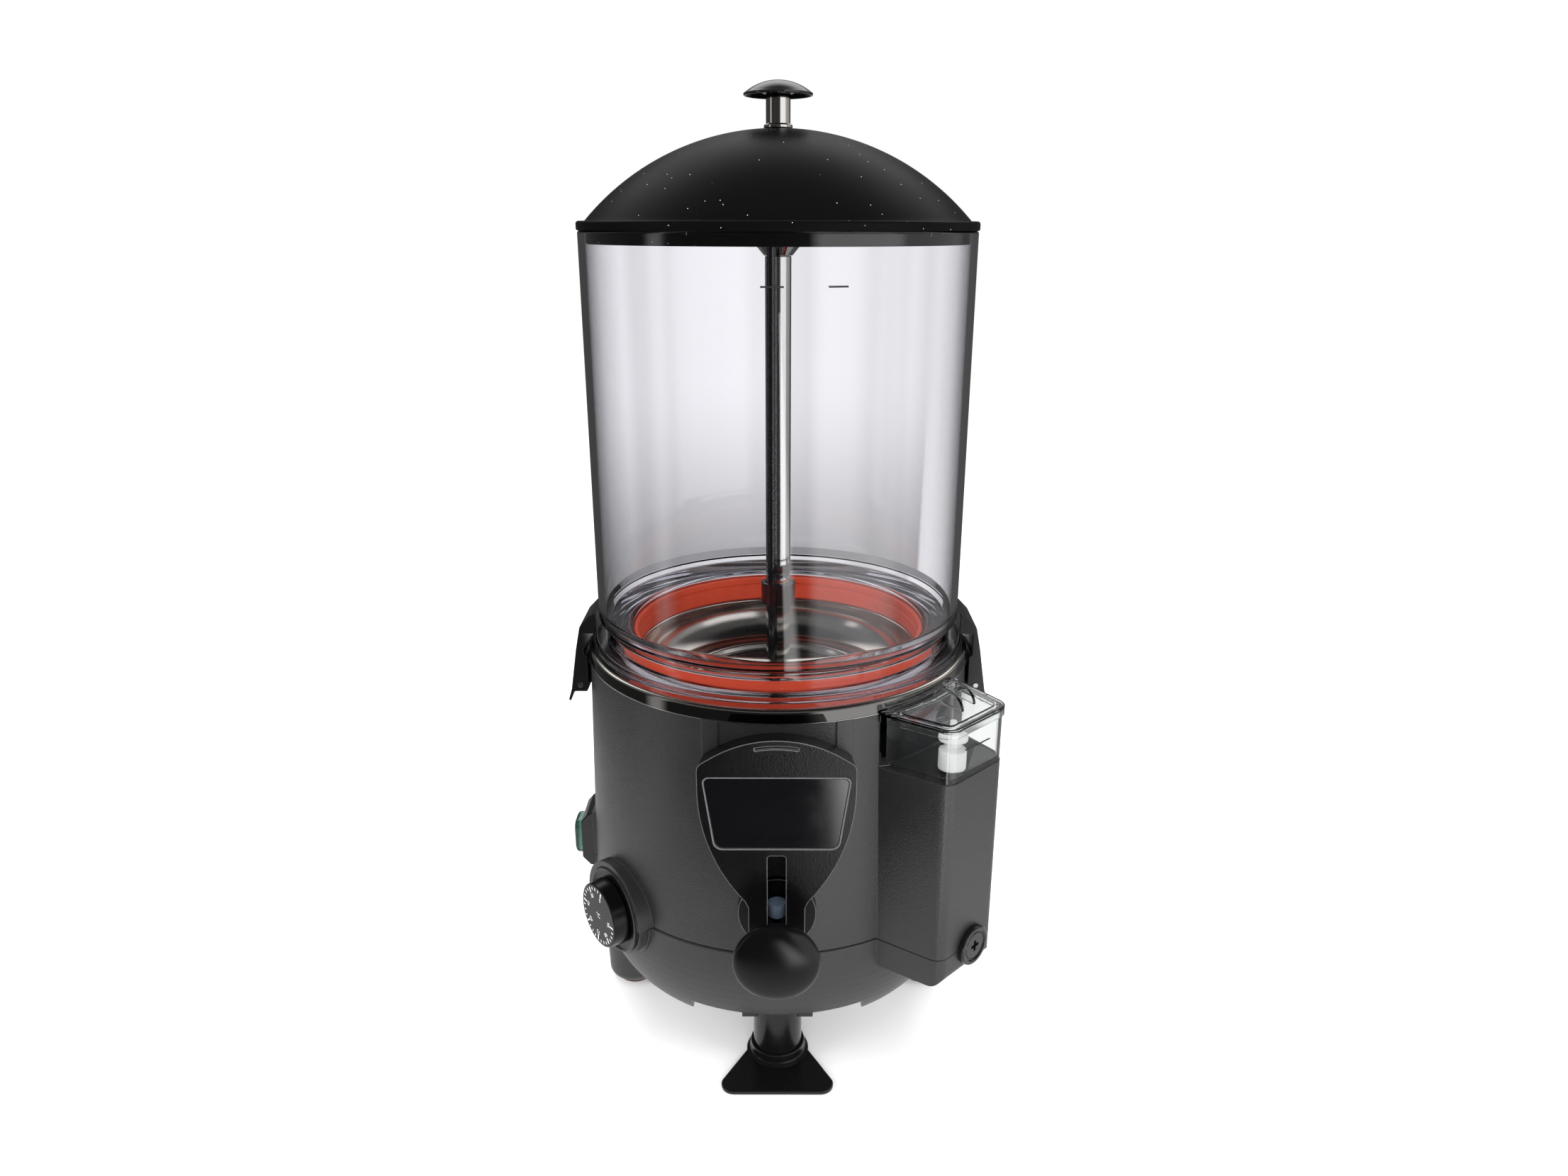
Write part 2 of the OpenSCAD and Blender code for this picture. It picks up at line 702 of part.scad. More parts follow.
module strips() {
    intersection() {
        rotate_extrude() polygon([
            [shell_at(shell_top_z - strip_h) - 1.5, shell_top_z - strip_h],
            [shell_at(shell_top_z - strip_h) + strip_out, shell_top_z - strip_h],
            [shell_top_r + strip_out, shell_top_z], [shell_top_r - 1.5, shell_top_z]]);
        for (side = [-1, 1])
            translate([side * (strip_in + strip_w / 2), -shell_top_r, shell_top_z - strip_h / 2])
                cube([strip_w, 60, strip_h], center = true);
    }
}

// Ribs on the shell's wall that carry the motor plate
rib_turns = [20, 110, 160, 235];
rib_in = 96;

module upper_shell() {
    bottom_z = seam_z + seam_gap / 2;
    at_vessel() color("#2b2b2d") difference() {
        union() {
            shell_skin();
            difference() {
                union() {
                    box_solid(0, 90, bottom_z, box_top_z);
                    intersection() {
                        union() {
                            dial_collar();
                            switch_pad();
                        }
                        above(bottom_z);
                    }
                    strips();
                    latch_lug(-1);
                    latch_lug(1);
                }
                body_inside();
            }
            difference() {
                for (turn = rib_turns) rotate([0, 0, turn])
                    block([rib_in, -2, bottom_z + 1], [seam_r - housing_wall + 0.6, 2, motor_plate_z]);
                cylinder(h = 400, r = rib_in);
            }
        }
        difference() {
            box_solid(housing_wall, 90, bottom_z - cut, box_top_z - housing_wall);
            translate([0, 0, bottom_z - 2 * cut]) cylinder(h = 300, r = seam_r + 0.2);
        }
        riser_place(box_top_z - housing_wall - cut)
            cylinder(h = 2 * cut + housing_wall, r = pipe_r + fit);
        box_pipe(jacket_pipe_z) cylinder(h = pipe_place, r = pipe_r + fit);
        dial_cut();
        switch_cut();
        tap_holes();
        plug_hole(pipe_r + 2.5);
    }
}

// The riser and the pipe from the jacket, in line with the drain plug
module riser_place(z) {
    rotate([0, 0, box_angle]) translate([plug_side, -pipe_place, z]) children();
}

module box_pipe(z) {
    rotate([0, 0, box_angle]) translate([plug_side, 0, z]) rotate([90, 0, 0]) children();
}

motor_plate_z = gear_case_top_z;
pipe_place = (seam_r + box_reach) / 2;
jacket_pipe_z = jacket_floor_z + 8;

function leg_places() = [[-side_leg_reach, side_leg_back], [side_leg_reach, side_leg_back],
    [0, rear_leg_reach]];

// The pan's body of revolution, a little taller than the pan
module pan_shape(top_z) {
    rotate_extrude() polygon(concat(
        [[0, top_z + 0.8], [seam_r - 1, top_z + 0.8], [seam_r, top_z - 0.8]],
        pan_curve(0), [[0, ground_gap]]));
}

leg_block_h = 6.5;
leg_block_back = -front_leg_reach + front_leg_r + 2.6;
leg_round = 7.5;
leg_top_z = pan_round_z - 15;

// Front cut-out of the pan's edge under a sloping roof, grown by a wall
module edge_cut(wall) {
    half_w = edge_cut_half_w + wall;
    roof_z = ground_gap + edge_cut_h + wall;
    intersection() {
        rotate_extrude() polygon([
            [pan_foot_r - housing_wall - 1, ground_gap - 1],
            [pan_foot_r - housing_wall - 1, roof_z], [pan_foot_r, roof_z],
            [seam_r + 2, roof_z + edge_cut_slope * (seam_r + 2 - pan_foot_r)],
            [seam_r + 2, ground_gap - 1]]);
        block([-half_w, -seam_r - 3, 0], [half_w, -60, seam_z]);
    }
}

module lower_pan() {
    top_z = seam_z - seam_gap / 2;
    block_half_w = front_leg_r + 7;
    at_vessel() color("#2b2b2d") difference() {
        union() {
            pan_shape(top_z);
            box_solid(0, 60, box_bottom_z, top_z + 1);
            dial_step();
            switch_pad();
            for (p = leg_places()) translate([p[0], p[1], 0]) rotate_extrude() polygon(concat(
                [[0, leg_top_z], [0, rubber_h], [leg_r - leg_round, rubber_h]],
                arc(leg_r - leg_round, rubber_h + leg_round, leg_round, -80, -8, 6),
                [[leg_r + 2.4, leg_top_z]]));
            block([-block_half_w, -front_leg_reach - 9, ground_gap - leg_block_h],
                [block_half_w, leg_block_back, pan_floor_top_z]);
            outward(180, gland_z) translate([0, 0, seam_r - 12]) cylinder(h = 12, r = gland_flange_r + 2);
        }
        above(top_z);
        difference() {
            body_inside();
            edge_cut(housing_wall);
        }
        // Recess of the bottom cover
        difference() {
            translate([0, 0, ground_gap - 0.1])
                cylinder(h = pan_ledge_z - ground_gap + 0.1, r = pan_foot_r - housing_wall);
            for (p = leg_places()) translate([p[0], p[1], 0]) cylinder(h = 90, r = leg_r + 2.4);
            block([-block_half_w, -front_leg_reach - 9, 0], [block_half_w, leg_block_back, 90]);
        }
        translate([0, 0, pan_ledge_z - cut]) cylinder(h = 20, r = pan_opening_r);
        // Clear of the leg's block and of the level box
        difference() {
            edge_cut(0);
            block([-block_half_w, -front_leg_reach - 9, 0], [block_half_w, leg_block_back, 90]);
            box_solid(0, 60, box_bottom_z, top_z + 1);
        }
        // Socket of the front leg
        translate([0, -front_leg_reach, ground_gap - leg_block_h - cut])
            cylinder(h = leg_socket_z - ground_gap + leg_block_h + cut, r = front_leg_r + fit);
        // Sockets of the rubber feet
        for (p = leg_places()) translate([p[0], p[1], rubber_h - cut]) cylinder(h = 10 + cut, r = 6 + fit);
        difference() {
            box_solid(housing_wall, 60, box_bottom_z + housing_wall, top_z + 2);
            translate([0, 0, box_bottom_z]) cylinder(h = 300, r = seam_r + 0.2);
        }
        // Rounded lower edge of the level box
        rotate([0, 0, box_angle]) translate([0, -box_reach, box_bottom_z]) difference() {
            block([-2 * box_in_half_w, -cut, -cut], [2 * box_in_half_w, box_corner_r, box_corner_r]);
            translate([0, box_corner_r, box_corner_r]) rotate([0, 90, 0])
                cylinder(h = 5 * box_in_half_w, r = box_corner_r, center = true);
        }
        dial_cut();
        switch_cut();
        plug_hole(pipe_r + 2.5);
        outward(180, gland_z) cylinder(h = 200, r = 6 + fit);
    }
}

module bottom_cover() {
    block_half_w = front_leg_r + 7.3;
    at_vessel() color("#303032") difference() {
        translate([0, 0, cover_z]) cylinder(h = cover_t, r = pan_foot_r - housing_wall - loose);
        for (p = leg_places()) translate([p[0], p[1], 0]) cylinder(h = 90, r = leg_r + 2.4 + loose);
        block([-block_half_w, -seam_r, 0], [block_half_w, leg_block_back + loose, 90]);
        for (row = [-3:3]) translate([0, row * 9, cover_z])
            cube([48, 4, 10], center = true);
        for (turn = screw_turns) rotate([0, 0, turn]) translate([screw_ring_r, 0, cover_z - cut])
            cylinder(h = 10, r = screw_r + fit);
    }
}

screw_turns = [38, 142, 218, 322];
screw_ring_r = 76;
screw_r = 1.8;

module cover_screws() {
    at_vessel() color("#a8a8aa") for (turn = screw_turns) rotate([0, 0, turn])
        translate([screw_ring_r, 0, 0]) {
            translate([0, 0, cover_z - 1.4]) cylinder(h = 1.4, r = 3.4);
            translate([0, 0, cover_z - 1.4]) cylinder(h = cover_t + 1.4, r = screw_r);
        }
}

module front_leg() {
    at_vessel() color("#232325") translate([0, -front_leg_reach, 0]) difference() {
        translate([0, 0, plate_t]) cylinder(h = leg_socket_z - plate_t, r = front_leg_r);
        translate([0, 0, plate_t - cut]) cylinder(h = 100, r = front_leg_r - 3);
    }
}

// Plan of the foot plate: a narrow rear round the leg, flaring to a wide front
function plate_plan() =
    let (corner = 8, heel = front_leg_r + 4.5)
    let (side = concat(
        arc(plate_half_w - corner, -plate_reach + corner, corner, -90, 15, 5),
        [[heel, -front_leg_reach - 3]],
        arc(0, -front_leg_reach, heel, 0, 90, 8)))
    concat(side, mirrored(side));

module foot_plate() {
    socket_h = 7;
    at_vessel() color("#1f1f21") difference() {
        union() {
            linear_extrude(height = plate_t) polygon(plate_plan());
            translate([0, -front_leg_reach, 0]) cylinder(h = plate_t + socket_h, r = front_leg_r + 1.9);
        }
        translate([0, -front_leg_reach, plate_t]) cylinder(h = 20, r = front_leg_r + fit);
        for (side = [-1, 1]) translate([side * (plate_half_w - 12), -plate_reach + 11, plate_t - 0.4])
            ring(2.6, 1.9, 0, 2);
    }
}

module rubber_feet() {
    at_vessel() color("#5a2a22") for (p = leg_places()) translate([p[0], p[1], 0]) {
        rotate_extrude() polygon(concat(
            [[0, rubber_h], [leg_r - leg_round + 1, rubber_h]],
            arc(leg_r - leg_round - 0.6, 1.6, 1.6, 0, -90, 5), [[0, 0]]));
        translate([0, 0, rubber_h - cut]) cylinder(h = 9 + cut, r = 6);
    }
}

// ---- Latches ----

module latch(side) {
    pin = latch_pin_reach;
    back = shell_top_r + 1;
    hook_z = flange_top_z + loose;
    top_z = hook_z + 14;
    at_vessel() color("#1d1d1f") scale([side, 1, 1]) difference() {
        rotate([90, 0, 0]) translate([0, 0, -latch_w / 2]) linear_extrude(height = latch_w) polygon([
            [pin + 8.2, latch_pin_z - 10.7], [pin + 5.9, latch_pin_z - 3.1], [pin + 1.7, rim_z - 4.2],
            [pin - 1.3, hook_z + 4.7], [bowl_low_r + 5, top_z - 2.5], [bowl_low_r + 0.8, top_z],
            [bowl_low_r + 0.8, hook_z], [back + 2, hook_z], [back + 2, rim_z - 8], [back, rim_z - 9],
            [back, latch_pin_z - 2], [back + 1.3, latch_pin_z - 4.7], [pin + 4.3, latch_pin_z - 4.7],
            [pin + 6.7, latch_pin_z - 11.2]]);
        block([back - 5, -lug_w / 2 - 0.6, latch_pin_z - 20], [pin, lug_w / 2 + 0.6, latch_pin_z + 12]);
        translate([pin, lug_w / 2 + 0.6, latch_pin_z]) rotate([90, 0, 0])
            cylinder(h = lug_w + 1.2, r = latch_pin_r + 2);
        translate([pin, latch_w, latch_pin_z]) rotate([90, 0, 0])
            cylinder(h = 2 * latch_w, r = latch_pin_r + fit);
    }
}

module left_latch() { latch(-1); }

module right_latch() { latch(1); }

module latch_pins() {
    pin_len = latch_w + 1;
    at_vessel() color("#d8d8da") for (side = [-1, 1])
        translate([side * latch_pin_reach, pin_len / 2, latch_pin_z]) rotate([90, 0, 0])
            cylinder(h = pin_len, r = latch_pin_r);
}

// ---- Level box ----

module level_box() {
    inner_back_r = shell_top_r + 1;
    at_vessel() color("#d6dade", 0.35) difference() {
        box_solid(0.4, 100, box_top_z, clear_top_z - clear_lid_t);
        difference() {
            box_solid(0.4 + clear_wall, 100, box_top_z + clear_wall, clear_top_z);
            cylinder(h = 400, r = inner_back_r + clear_wall);
        }
        translate([0, 0, box_top_z - cut]) cylinder(h = 100, r = inner_back_r);
        riser_place(box_top_z - cut) cylinder(h = 2 * cut + clear_wall, r = pipe_r + fit);
    }
}

module level_lid() {
    inner_back_r = shell_top_r + 1;
    lid_z = clear_top_z - clear_lid_t;
    at_vessel() color("#dfe3e6", 0.35) difference() {
        union() {
            box_solid(-0.3, 100, lid_z, clear_top_z);
            difference() {
                box_solid(0.4 + clear_wall + 0.3, 100, lid_z - 2, lid_z);
                box_solid(0.4 + clear_wall + 1.8, 100, lid_z - 4, lid_z + 0.1);
                translate([0, 0, lid_z - 5]) cylinder(h = 20, r = inner_back_r + clear_wall + 3);
            }
            for (side = [-1, 1]) rotate([0, 0, box_angle])
                translate([side * fin_space / 2 - 0.9, -(shell_top_r + 18), clear_top_z - 0.1])
                    rotate([90, 0, 90]) linear_extrude(height = 1.8) polygon([
                        for (i = [0:12]) let (a = 180 * i / 12)
                            [fin_len / 2 * cos(a), fin_h * sin(a)]]);
        }
        translate([0, 0, lid_z - 10]) cylinder(h = 100, r = inner_back_r);
    }
}

post_foot_h = 1.6;
float_z = box_top_z + clear_wall + post_foot_h;
post_r = 2;
float_reach = box_reach - clear_wall - 0.4 - float_gap - float_cap_r;

float_neck_r = 4;
float_cap_h = 3.6;
float_body_h = float_h * 0.55;

module float_place() {
    rotate([0, 0, box_angle]) translate([float_side, -float_reach, 0]) children();
}

module level_float() {
    at_vessel() color("#f2f2ef") float_place() difference() {
        union() {
            translate([0, 0, float_z]) cylinder(h = float_body_h, r = float_r);
            translate([0, 0, float_z + float_body_h]) cylinder(h = 2.4, r1 = float_r, r2 = float_neck_r);
            translate([0, 0, float_z + float_body_h])
                cylinder(h = float_h - float_body_h - 2, r = float_neck_r);
            translate([0, 0, float_z + float_h - float_cap_h]) cylinder(h = float_cap_h, r = float_cap_r);
        }
        translate([0, 0, float_z - cut]) cylinder(h = float_h + 2 * cut, r = post_r + loose);
    }
}

module float_post() {
    post_top_z = clear_top_z - clear_lid_t - 1;
    at_vessel() color("#e4e4e0") float_place() union() {
        translate([0, 0, box_top_z + clear_wall]) cylinder(h = post_foot_h, r = post_r + 2);
        translate([0, 0, box_top_z + clear_wall])
            cylinder(h = post_top_z - box_top_z - clear_wall, r = post_r);
    }
}

module drain_pipe() {
    elbow_r = pipe_r + 0.8;
    bore_r = pipe_r - 1.4;
    at_vessel() color("#6f6f72") difference() {
        union() {
            riser_place(plug_z) cylinder(h = box_top_z + 1 - plug_z, r = pipe_r);
            riser_place(plug_z) sphere(r = elbow_r);
            riser_place(jacket_pipe_z) sphere(r = elbow_r);
            box_pipe(plug_z) translate([0, 0, pipe_place])
                cylinder(h = box_reach - housing_wall - pipe_place, r = pipe_r);
            box_pipe(jacket_pipe_z) translate([0, 0, pipe_joint]) cylinder(h = 8, r = pipe_r);
        }
        riser_place(plug_z) cylinder(h = 200, r = bore_r);
        box_pipe(plug_z) translate([0, 0, pipe_place]) cylinder(h = 60, r = bore_r);
        box_pipe(jacket_pipe_z) cylinder(h = pipe_place, r = bore_r);
    }
}

pipe_joint = pipe_place - 8;

module jacket_pipe() {
    at_vessel() color("#6f6f72") box_pipe(jacket_pipe_z) difference() {
        translate([0, 0, jacket_r - 6]) cylinder(h = pipe_joint - jacket_r + 6, r = pipe_r);
        cylinder(h = 200, r = pipe_r - 1.4);
    }
}

module drain_plug() {
    at_vessel() color("#1c1c1e") rotate([0, 0, box_angle])
        translate([plug_side, -box_reach, plug_z]) rotate([90, 0, 0]) difference() {
            union() {
                rotate_extrude() polygon([
                    [0, 0], [plug_r - 1, 0], [plug_r, 1], [plug_r, plug_out - 1.4],
                    [plug_r - 1.4, plug_out], [plug_r - 2.6, plug_out], [plug_r - 3, plug_out - 0.6],
                    [0, plug_out - 0.6]]);
                translate([0, 0, -housing_wall]) cylinder(h = housing_wall + 1, r = pipe_r + 2.2);
                translate([0, 0, -housing_wall - 8]) cylinder(h = 12, r = pipe_r - 1.4 - fit);
            }
            for (turn = [0, 90]) rotate([0, 0, turn])
                translate([0, 0, plug_out]) cube([7, 1.8, 5], center = true);
        }
}

// ---- Tap ----

module tap_body() {
    neck_out_r = port_r * 2;
    at_vessel() color("#242426") difference() {
        union() {
            outward(0, barrel_z) translate([0, 0, seam_r - 20])
                cylinder(h = -valve_y - 8 - seam_r + 20, r = barrel_r);
            translate([0, valve_y, spout_z]) cylinder(h = valve_top_z - spout_z, r = valve_r);
            outward(0, port_z) translate([0, 0, tap_inlet])
                cylinder(h = -valve_y - tap_inlet, r = neck_out_r);
            for (side = [-1, 1])
                translate([side * (lever_half_w + 2), 0, 0]) {
                    translate([0, lever_pin_y, lever_z]) rotate([0, 90, 0])
                        cylinder(h = 2.6, r = lever_pin_r + 0.7, center = true);
                    block([-1.3, lever_pin_y - 2, valve_top_z - 4], [1.3, lever_pin_y + 6, lever_z]);
                }
        }
        outward(0, barrel_z) translate([0, 0, seam_r - 21])
            cylinder(h = -valve_y - 12 - seam_r + 21, r = barrel_r - 3);
        translate([0, valve_y, spout_z - cut])
            cylinder(h = valve_top_z - 4 - spout_z + cut, r = valve_bore_r);
        translate([0, valve_y, spout_z]) cylinder(h = 60, r = valve_rod_r + fit);
        outward(0, port_z) cylinder(h = -valve_y, r = port_r);
        translate([-20, lever_pin_y, lever_z]) rotate([0, 90, 0]) cylinder(h = 40, r = lever_pin_r + fit);
    }
}

tap_inlet = 96;

module outlet_pipe() {
    at_vessel() color("#a5a29c") difference() {
        union() {
            translate([0, -outlet_reach, port_z]) cylinder(h = floor_z - port_z, r = pipe_r);
            translate([0, -outlet_reach, port_z]) sphere(r = pipe_r);
            translate([0, -outlet_reach, port_z]) rotate([90, 0, 0])
                cylinder(h = tap_inlet - outlet_reach, r = pipe_r);
        }
        translate([0, -outlet_reach, port_z]) cylinder(h = 200, r = port_r);
        translate([0, -outlet_reach, port_z]) rotate([90, 0, 0]) cylinder(h = 100, r = port_r);
    }
}

// Right half of the cover's outline, seen from the front, drawn inset by a wall
function cover_half(inset) =
    let (half = cover_half_w - inset, top = cover_top_z - inset)
    let (arch_r = 65.2 - inset, side_r = 105 - inset)
    let (shoulder = 34.3, side_z = cover_top_z - 29)
    let (low = cover_low_half_w - inset, turn = acos((low - cover_half_w + 105) / side_r))
    concat(
        [[low, cover_bottom_z - 20], [low, side_z - side_r * sin(turn)]],
        arc(cover_half_w - 105, side_z, side_r, -turn, 0, 10),
        [[half, cover_top_z - 18]],
        arc(half - 6, cover_top_z - 18, 6, 10, 50, 3),
        arc(0, cover_top_z - 65.2, arch_r, 90 - shoulder, 90, 7));

function cover_plan(inset) = concat(cover_half(inset), mirrored(cover_half(inset)));

// Solid whose XZ outline is given, from y = -far to y = -near
module front_solid(points, near, far) {
    translate([0, -near, 0]) rotate([90, 0, 0]) linear_extrude(height = far - near) polygon(points);
}

// Solid behind an outline in the face's plane, falling towards the back
module hood(points, near, far, bottom_z) {
    intersection() {
        translate([0, -cover_reach, cover_top_z]) rotate([90 - cover_slope, 0, 0])
            translate([0, 0, -110]) linear_extrude(height = 112)
                polygon([for (p = points) [p[0], (p[1] - cover_top_z) * cos(cover_slope)]]);
        block([-60, -far, bottom_z], [60, -near, cover_top_z + cut]);
    }
}

// Fingernail groove under the top of the cover's face
module nail_groove() {
    groove = concat(arc(0, cover_top_z - 65.2, 60.2, 100, 80, 6),
        arc(0, cover_top_z - 65.2, 62, 80, 100, 6));
    front_solid(groove, cover_reach - 1, cover_reach + cut);
}

function panel_plan(inset) = [
    [33 - inset, cover_top_z - 64 + inset], [39 - inset, cover_top_z - 22 - inset],
    [-39 + inset, cover_top_z - 22 - inset], [-33 + inset, cover_top_z - 64 + inset]];

module tap_cover() {
    near = shell_top_r - 14;
    strip_out_r = shell_top_r + strip_out + loose;
    at_vessel() color("#262628") difference() {
        hood(cover_plan(0), near, cover_reach, cover_bottom_z);
        hood(cover_plan(cover_wall), near - cut, cover_reach - cover_wall, cover_bottom_z - cut);
        translate([0, 0, 100]) cylinder(h = 200, r1 = shell_at(100) + loose, r2 = shell_at(300) + loose);
        intersection() {
            translate([0, 0, shell_top_z - strip_h - loose])
                cylinder(h = 90, r1 = strip_out_r + 1.2, r2 = strip_out_r);
            for (side = [-1, 1]) scale([side, 1, 1])
                block([strip_in - loose, -200, 0], [strip_in + strip_w + 10, 0, 400]);
        }
        front_solid([[slot_half_w, cover_bottom_z - cut], [slot_half_w, slot_top_z],
            [-slot_half_w, slot_top_z], [-slot_half_w, cover_bottom_z - cut]],
            cover_reach - 2 * cover_wall, cover_reach + cut);
        front_solid(panel_plan(0), cover_reach - panel_depth, cover_reach + cut);
        nail_groove();
        outward(0, barrel_z) cylinder(h = -valve_y - 8, r = barrel_r + loose);
    }
}

module cover_panel() {
    at_vessel() color("#101012")
        front_solid(panel_plan(0.2), cover_reach - panel_depth, cover_reach - panel_depth + 0.6);
}

module tap_lever() {
    at_vessel() color("#17171a") difference() {
        union() {
            translate([0, lever_pin_y, lever_z]) rotate([0, 90, 0])
                cylinder(h = 2 * lever_half_w, r = lever_pin_r + 0.9, center = true);
            for (side = [-1, 1]) scale([side, 1, 1])
                block([valve_rod_r + 0.5, lever_pin_y, lever_z - 2],
                    [lever_half_w, valve_y + 6, lever_z + 2]);
            translate([0, lever_pin_y - 2, lever_z]) rotate([90, 0, 0])
                cylinder(h = lever_knob_reach + lever_pin_y - 2 + 6, r = lever_rod_r);
        }
        translate([-20, lever_pin_y, lever_z]) rotate([0, 90, 0]) cylinder(h = 40, r = lever_pin_r + fit);
    }
}

module lever_knob() {
    r = lever_knob_r;
    h = lever_knob_h;
    at_vessel() color("#1a1a1c") translate([0, -lever_knob_reach, lever_z]) rotate([90, 0, 0])
        difference() {
            rotate_extrude() polygon(concat(
                [[0, 0], [5.5, 0], [7, 1.6], [r - 4, h * 0.33], [r - 0.6, h * 0.42]],
                [for (i = [0:8]) let (a = 90 * i / 8) [r * cos(a), h * 0.5 + h * 0.5 * sin(a)]]));
            translate([0, 0, -cut]) cylinder(h = 6 + cut + 0.02, r = lever_rod_r);
        }
}

module lever_pin() {
    pin_len = 2 * lever_half_w + 7;
    at_vessel() color("#b5b5b8") translate([0, lever_pin_y, lever_z]) rotate([0, 90, 0])
        cylinder(h = pin_len, r = lever_pin_r, center = true);
}

piston_z = port_z - port_r - 1;
piston_h = 2 * port_r + 2;
collar_z = lever_z + 2 + loose;

module valve_rod() {
    at_vessel() color("#c4c4c6") translate([0, valve_y, piston_z])
        cylinder(h = collar_z + collar_h - 1 - piston_z, r = valve_rod_r);
}

module valve_collar() {
    at_vessel() color("#8fa0b8") translate([0, valve_y, 0]) difference() {
        translate([0, 0, collar_z]) cylinder(h = collar_h, r = collar_r);
        translate([0, 0, collar_z - cut]) cylinder(h = collar_h, r = valve_rod_r);
    }
}

module valve_piston() {
    at_vessel() color("#2a2a2c") translate([0, valve_y, 0])
        ring(valve_bore_r - fit, valve_rod_r, piston_z, piston_h);
}

// ---- Thermostat and switch ----

module dial_plate() {
    at_vessel() color("#242426") outward(-dial_angle, dial_z)
        ring(dial_plate_r, dial_shaft_r + 2, plate_reach_out - plate_thick, plate_thick);
}

module dial_knob() {
    base = plate_reach_out + loose;
    h = dial_knob_h;
    at_vessel() color("#202022") outward(-dial_angle, dial_z) translate([0, 0, base]) difference() {
        rotate_extrude() polygon([
            [0, 0], [dial_r + 1.2, 0], [dial_r + 0.2, h - 0.8], [dial_r - 0.7, h], [0, h]]);
        translate([0, 0, -cut]) cylinder(h = h - 3 + cut, r = dial_shaft_r);
    }
}

dial_shaft_in = 14;
thermostat_half_w = 15;
thermostat_depth = 22;

module dial_shaft() {
    at_vessel() color("#9a9a9c") outward(-dial_angle, dial_z)
        translate([0, 0, plate_reach_out - dial_shaft_in])
            cylinder(h = dial_shaft_in + loose + dial_knob_h - 3, r = dial_shaft_r);
}

module thermostat_body() {
    half = thermostat_half_w;
    front = seam_r - housing_wall - 2.2;
    at_vessel() color("#d9d3c4") outward(-dial_angle, dial_z) difference() {
        union() {
            block([-half, -half, front - thermostat_depth], [half, half, front]);
            translate([0, 0, front - 1])
                cylinder(h = plate_reach_out - plate_thick - front + 1, r = dial_hole_r - 3);
        }
        translate([0, 0, front - 10]) cylinder(h = 40, r = dial_shaft_r + fit);
    }
}

rocker_pin_r = 1.5;

module switch_housing() {
    back = switch_pad_out;
    pin_out = switch_reach - 4.5;
    at_vessel() color("#1e1e20") outward(switch_turn, switch_z) difference() {
        union() {
            rotate([90, 0, 90]) translate([0, 0, -switch_w / 2]) linear_extrude(height = switch_w)
                polygon([[-switch_down, back], [switch_up, back], [switch_up - 1.4, back + 2.2],
                    [switch_up - 5.6, back + 6], [switch_up - 11, switch_reach],
                    [1 - rocker_h / 2 - 1.4, switch_reach], [-rocker_h / 2 - 1.2, switch_reach - 2],
                    [1.4 - switch_down, switch_reach - 3.6], [-switch_down, back + 3]]);
            translate([0, 0, seam_r - 8]) cube([rocker_w + 5, rocker_h + 5, 26], center = true);
        }
        translate([0, 0, switch_reach - 5]) cube([rocker_w + 0.8, rocker_h + 0.8, 30], center = true);
        translate([0, 0, pin_out]) rotate([0, 90, 0])
            cylinder(h = rocker_w + 4.6, r = rocker_pin_r + fit, center = true);
    }
}

module switch_rocker() {
    pin_out = switch_reach - 4.5;
    half = rocker_h / 2;
    at_vessel() color("#2f8f6a") outward(switch_turn, switch_z) {
        rotate([90, 0, 90]) translate([0, 0, -rocker_w / 2]) linear_extrude(height = rocker_w)
            polygon(concat(arc(0, pin_out, half, -12, 22, 5), [[0, pin_out + half * 0.5]],
                arc(0, pin_out, half, 144, 192, 7)));
        translate([0, 0, pin_out]) rotate([0, 90, 0])
            cylinder(h = rocker_w + 4, r = rocker_pin_r, center = true);
    }
}

module switch_cap() {
    cap_w = rocker_w + 5;
    cap_h = rocker_h + 3.8;
    at_vessel() color("#dfe8e4", 0.35) outward(switch_turn, switch_z) difference() {
        block([-cap_w / 2, -cap_h / 2, switch_reach], [cap_w / 2, cap_h / 2, switch_reach + switch_cap_h]);
        block([1 - cap_w / 2, 1 - cap_h / 2, switch_reach - cut],
            [cap_w / 2 - 1, cap_h / 2 - 1, switch_reach + switch_cap_h - 1]);
    }
}

// ---- Drive and heating ----

module water_jacket() {
    inner = jacket_r - sheet;
    top_z = rim_z - sheet - 1.5;
    at_vessel() color("#8d8d90") difference() {
        rotate_extrude() polygon([
            [0, jacket_floor_z], [jacket_r - 6, jacket_floor_z], [jacket_r, jacket_floor_z + 6],
            [jacket_r, top_z - sheet], [shell_top_r - housing_wall - 1.5, top_z - sheet],
            [shell_top_r - housing_wall - 1.5, top_z], [inner, top_z], [inner, jacket_floor_z + 6.4],
            [jacket_r - 6.4, jacket_floor_z + sheet], [0, jacket_floor_z + sheet]]);
        translate([0, 0, jacket_floor_z - cut]) cylinder(h = 10, r = column_r + fit);
        translate([0, -outlet_reach, jacket_floor_z - cut]) cylinder(h = 10, r = pipe_r + fit);
        box_pipe(jacket_pipe_z) cylinder(h = 200, r = pipe_r + fit);
        for (side = [-1, 1]) translate([side * terminal_x, terminal_y, jacket_floor_z - cut])
            cylinder(h = 10, r = heater_tube_r + fit);
    }
}

module jacket_seal() {
    at_vessel() color("#bb5040")
        ring(shell_top_r - housing_wall - 2, jacket_r, rim_z - sheet - 1.5, 1.5);
}

terminal_x = 14;
terminal_drop = 10;
terminal_y = sqrt(heater_ring_r * heater_ring_r - terminal_x * terminal_x);

